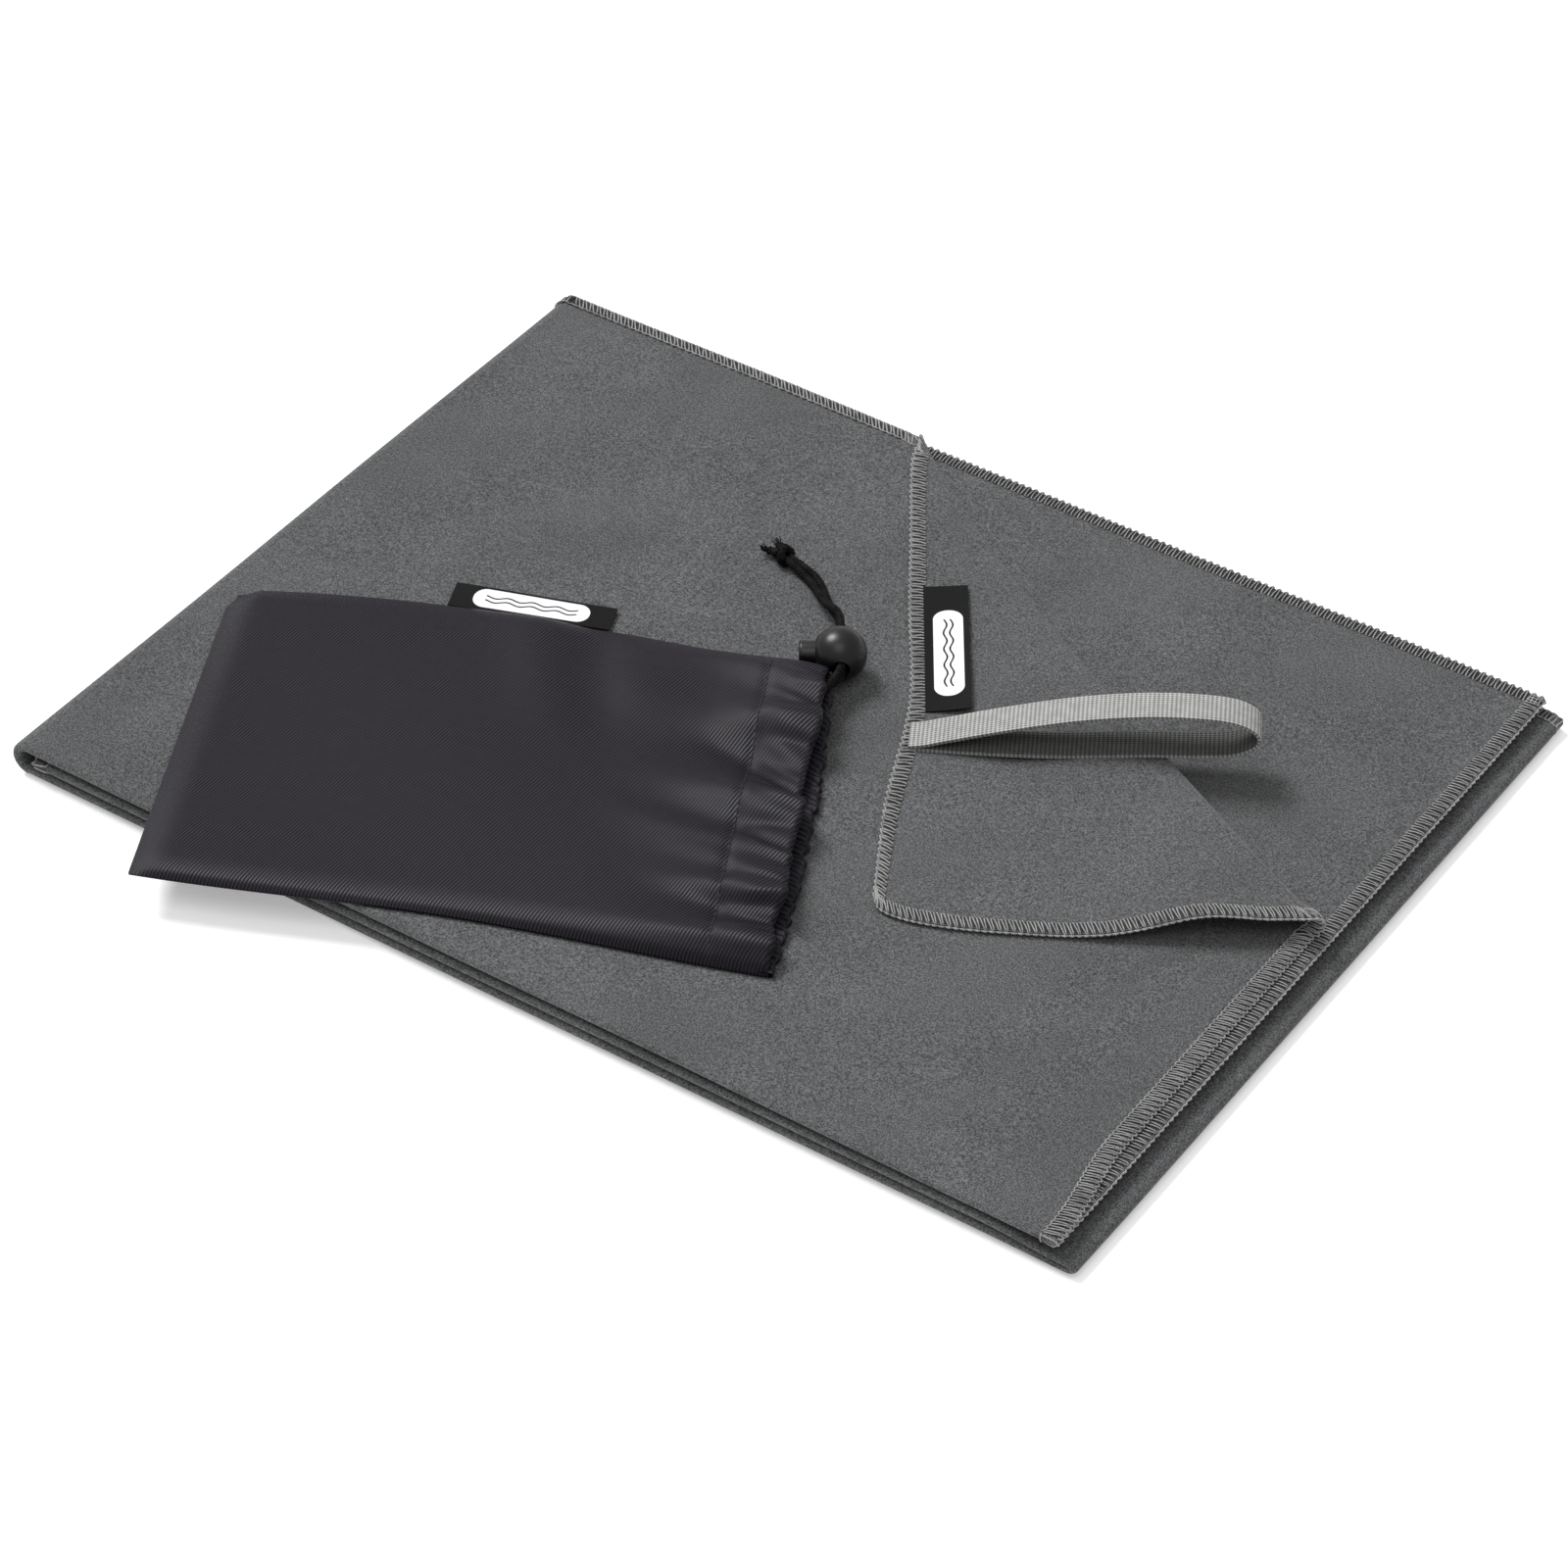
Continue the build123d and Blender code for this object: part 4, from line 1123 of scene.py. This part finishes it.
def build_casing_stitches():
    """Lockstitch along the casing, sunk in a slight pucker of the upper panel."""
    share = 1 - STITCH_FROM_MOUTH / POUCH_LENGTH
    ends = np.linspace(0.03, 0.97, 45)
    parts = []
    for a, b in zip(ends[:-1], ends[1:]):
        across = np.linspace(a + (b - a) * 0.12, b - (b - a) * 0.12, 7)
        level = np.full(len(across), share)
        plan = pouch_plan(level, across)
        z = BED + upper_height(level, across, plan) + 0.2 + 0.16 * np.sin(
            np.linspace(0, pi, 7))
        path = np.concatenate([plan, z[:, None]], axis=1)
        parts.append(tube(path, 0.2, np.tile([0, 0, 1.0], (len(path), 1)), 6))
    points, faces = bundle(parts)
    piece = make_piece("casing_lockstitch", points, faces, POUCH_THREAD)
    hand_over(piece, "pouch", ["casing_stitching"])


# ---------------------------------------------------------------- cord and lock
KNOT = np.array([-40.5, 55.2, 12.7])
LAST_REST = np.array([-28.0, 51.4, 11.6])    # where the cord lies last before the knot


def braid(path, radius):
    """Braided cord: crossing yarns stand out of a round core."""
    sides = 20
    length = np.r_[0, np.cumsum(np.linalg.norm(np.diff(path, axis=0), axis=1))]
    points, faces = tube(path, radius, np.tile([0.11, 0.07, 1.0], (len(path), 1)), sides)
    angle = np.tile(np.arange(sides) * 2 * pi / sides, len(path))
    far = np.repeat(length, sides) * 2 * pi / 2.3
    weave = np.abs(np.sin((4 * angle + 2 * far) / 2)) * np.abs(np.sin((4 * angle - 2 * far) / 2))
    centre = np.repeat(path, sides, axis=0)
    return centre + (points - centre) * (0.78 + 0.36 * weave)[:, None], faces


def strand_path(side):
    up = np.array([0, 0, 1.25 * side])
    mouth = unit(np.append(MOUTH_BACK - MOUTH_FRONT, 0))
    inward = np.array([-mouth[1], mouth[0], 0])
    runs = 9 - side * 3
    corner = np.append(MOUTH_BACK, 0) - mouth * 12 + inward * (runs * 0.5)
    corner[2] = BED + 6.2 + side * 1.0
    middle = np.append(MOUTH_BACK, 0) - mouth * 40 + inward * runs
    middle[2] = BED + 2.2
    front = np.append(MOUTH_FRONT, 0) + mouth * 9 + inward * runs
    front[2] = BED + 1.9
    lock_in = BALL - CORD_OUT * 8.5 + up
    lock_out = BALL + CORD_OUT * 14.5 + up
    bend = np.array([-18.0, 43.0, 13.6])
    toward = unit(KNOT - LAST_REST)
    aside = unit(np.array([toward[1], -toward[0], 0])) * side * -1.2
    knots = [front, middle, corner, lock_in, BALL + up, lock_out,
             bend + (aside + up) * 0.75, LAST_REST + aside, KNOT - toward * 2.2 + aside * 0.6]
    return np.array(knots)


def build_drawcord():
    paths = [curve_through(strand_path(side), 620) for side in (1, -1)]
    turn = curve_through(np.array([
        paths[0][0], (paths[0][0] + paths[1][0]) / 2 + np.array([2.2, -2.6, 0]), paths[1][0]]), 30)
    parts = [braid(p, CORD_RADIUS) for p in paths] + [braid(turn, CORD_RADIUS)]
    points, faces = bundle(parts)
    piece = make_piece("drawcord_braid", points, faces, CORD_YARN)
    hand_over(piece, "pouch", ["drawcord"])


def build_knot():
    """Overhand knot: two strands that wind round the way they go."""
    toward = unit(KNOT - LAST_REST)
    side = unit(np.cross(toward, UP))
    over = np.cross(side, toward)
    t = np.linspace(0, 1, 130)
    parts = []
    for phase in (0.0, 0.34):
        angle = 2 * pi * (1.55 * t + phase)
        reach = 1.75 + 0.35 * np.sin(2 * pi * t)
        along = -1.9 + 4.0 * t + 0.9 * np.sin(2 * pi * (t * 2 + phase))
        path = (KNOT + along[:, None] * toward + (reach * np.cos(angle))[:, None] * side
                + (reach * np.sin(angle))[:, None] * over)
        parts.append(braid(path, CORD_RADIUS * 0.92))
    points, faces = bundle(parts)
    points[:, 2] = np.maximum(points[:, 2], BED + 0.05)
    piece = make_piece("cord_overhand_knot", points, faces, CORD_YARN)
    hand_over(piece, "pouch", ["cord_knot"])


def build_cord_ends():
    """Two cut ends beyond the knot, with their yarns come loose."""
    parts = []
    for lean in (-22, 22):
        heading = radians(160 + lean)
        outward = np.array([cos(heading), sin(heading), 0.0])
        start = KNOT + outward * 1.2 + np.array([0, 0, -0.6])
        sheath = curve_through(np.array([
            start, start + outward * 2.0, start + outward * 3.6 + np.array([0, 0, -0.2])]), 40)
        parts.append(braid(sheath, np.linspace(1.0, 1.25, 40)))
        for _ in range(26):
            spread = rng.normal(0, 0.22, 3)
            spread[2] = abs(spread[2]) * 0.6 - 0.05
            root = sheath[-4] + np.append(rng.normal(0, 0.42, 2), rng.normal(0, 0.35))
            tip = root + unit(outward + spread) * rng.uniform(1.6, 3.0)
            bow = (root + tip) / 2 + rng.normal(0, 0.15, 3)
            hair = curve_through(np.array([root, bow, tip]), 8)
            hair[:, 2] = np.maximum(hair[:, 2], BED + 0.2)
            parts.append(tube(hair, 0.14, np.tile([0.1, 0.2, 1.0], (8, 1)), 5))
    points, faces = bundle(parts)
    piece = make_piece("cord_frayed_ends", points, faces, CORD_YARN)
    hand_over(piece, "pouch", ["cord_ends"])


def finish_cad_parts():
    """The lock's moulded parts and its spring are right as they are; they get soft edges."""
    for name, material in (("cord_lock_ball", PLASTIC), ("cord_lock_plunger", PLASTIC),
                           ("cord_lock_spring", STEEL)):
        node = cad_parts[name]
        node.data.materials.clear()
        node.data.materials.append(material)
        weld = node.modifiers.new("weld", "WELD")
        weld.merge_threshold = 0.002 * MM
        if name != "cord_lock_spring":
            bevel = node.modifiers.new("soft_edges", "BEVEL")
            bevel.width = 0.35 * MM
            bevel.segments = 3
            bevel.limit_method = "ANGLE"
            bevel.angle_limit = radians(40)
            bevel.harden_normals = False


# ---------------------------------------------------------------- studio
CAMERA_AZIMUTH = 33.76
CAMERA_ELEVATION = 40.60
CAMERA_ROLL = -0.59
CAMERA_DISTANCE = 1.4065
CAMERA_TARGET = Vector((0.0063, -0.0134, 0.0))
CAMERA_LENS = 121.3
FLOOR_LEVEL = -0.0007                    # metres, just under the lowest stitches


def build_camera():
    azimuth, elevation = radians(CAMERA_AZIMUTH), radians(CAMERA_ELEVATION)
    back = Vector((sin(azimuth) * cos(elevation), -cos(azimuth) * cos(elevation), sin(elevation)))
    right = (-back).cross(Vector((0, 0, 1))).normalized()
    up = right.cross(-back)
    roll = radians(CAMERA_ROLL)
    turned = right * cos(roll) - up * sin(roll)
    turned_up = up * cos(roll) + right * sin(roll)
    camera = bpy.data.objects.new("camera", bpy.data.cameras.new("camera"))
    rotation = Matrix((turned, turned_up, back)).transposed().to_4x4()
    camera.matrix_world = Matrix.Translation(CAMERA_TARGET + back * CAMERA_DISTANCE) @ rotation
    camera.data.lens = CAMERA_LENS
    camera.data.sensor_width = 36
    camera.data.clip_end = 100
    bpy.context.scene.collection.objects.link(camera)
    bpy.context.scene.camera = camera


def build_floor():
    bpy.ops.mesh.primitive_plane_add(size=30, location=(0, 0, FLOOR_LEVEL))
    floor = bpy.context.object
    floor.name = "floor"
    paper = Surface("floor_paper")
    tone = paper.noise(paper.place(), 3, 2, 0.5)
    paper.set({
        "Base Color": paper.ramp(tone, (0.3, grey(0.9)), (0.7, grey(0.92))),
        "Roughness": 1.0, "Specular IOR Level": 0.0,
        "Emission Color": (1, 1, 1, 1), "Emission Strength": 0.3,
    })
    floor.data.materials.append(paper.material)


def build_lights():
    world = bpy.data.worlds.new("studio")
    bpy.context.scene.world = world
    world.use_nodes = True
    world.node_tree.nodes["Background"].inputs["Color"].default_value = (1, 1, 1, 1)
    world.node_tree.nodes["Background"].inputs["Strength"].default_value = 0.5
    lamps = (
        # name, kind, place, strength, and angle or size
        ("key_softbox", "SUN", (-1.0, 0.2, 1.3), 3.0, radians(24)),
        ("front_fill", "AREA", (0.3, -0.6, 1.5), 5.0, 0.9),
    )
    for name, kind, place, strength, spread in lamps:
        light = bpy.data.lights.new(name, kind)
        light.energy = strength
        if kind == "SUN":
            light.angle = spread
        else:
            light.size = spread
        lamp = bpy.data.objects.new(name, light)
        lamp.location = place
        lamp.rotation_euler = (-Vector(place)).to_track_quat("-Z", "Y").to_euler()
        bpy.context.scene.collection.objects.link(lamp)
    bpy.context.scene.view_settings.view_transform = "Standard"


build_base()
build_left_fold()
build_top()
build_base_hems()
build_left_fold_hem()
build_top_back_hem()
build_top_end_hem()
build_top_lower_hem()
build_loop()
build_labels()
build_upper_panel()
build_lower_panel()
build_casing_stitches()
build_drawcord()
build_knot()
build_cord_ends()
finish_cad_parts()
build_camera()
build_floor()
build_lights()
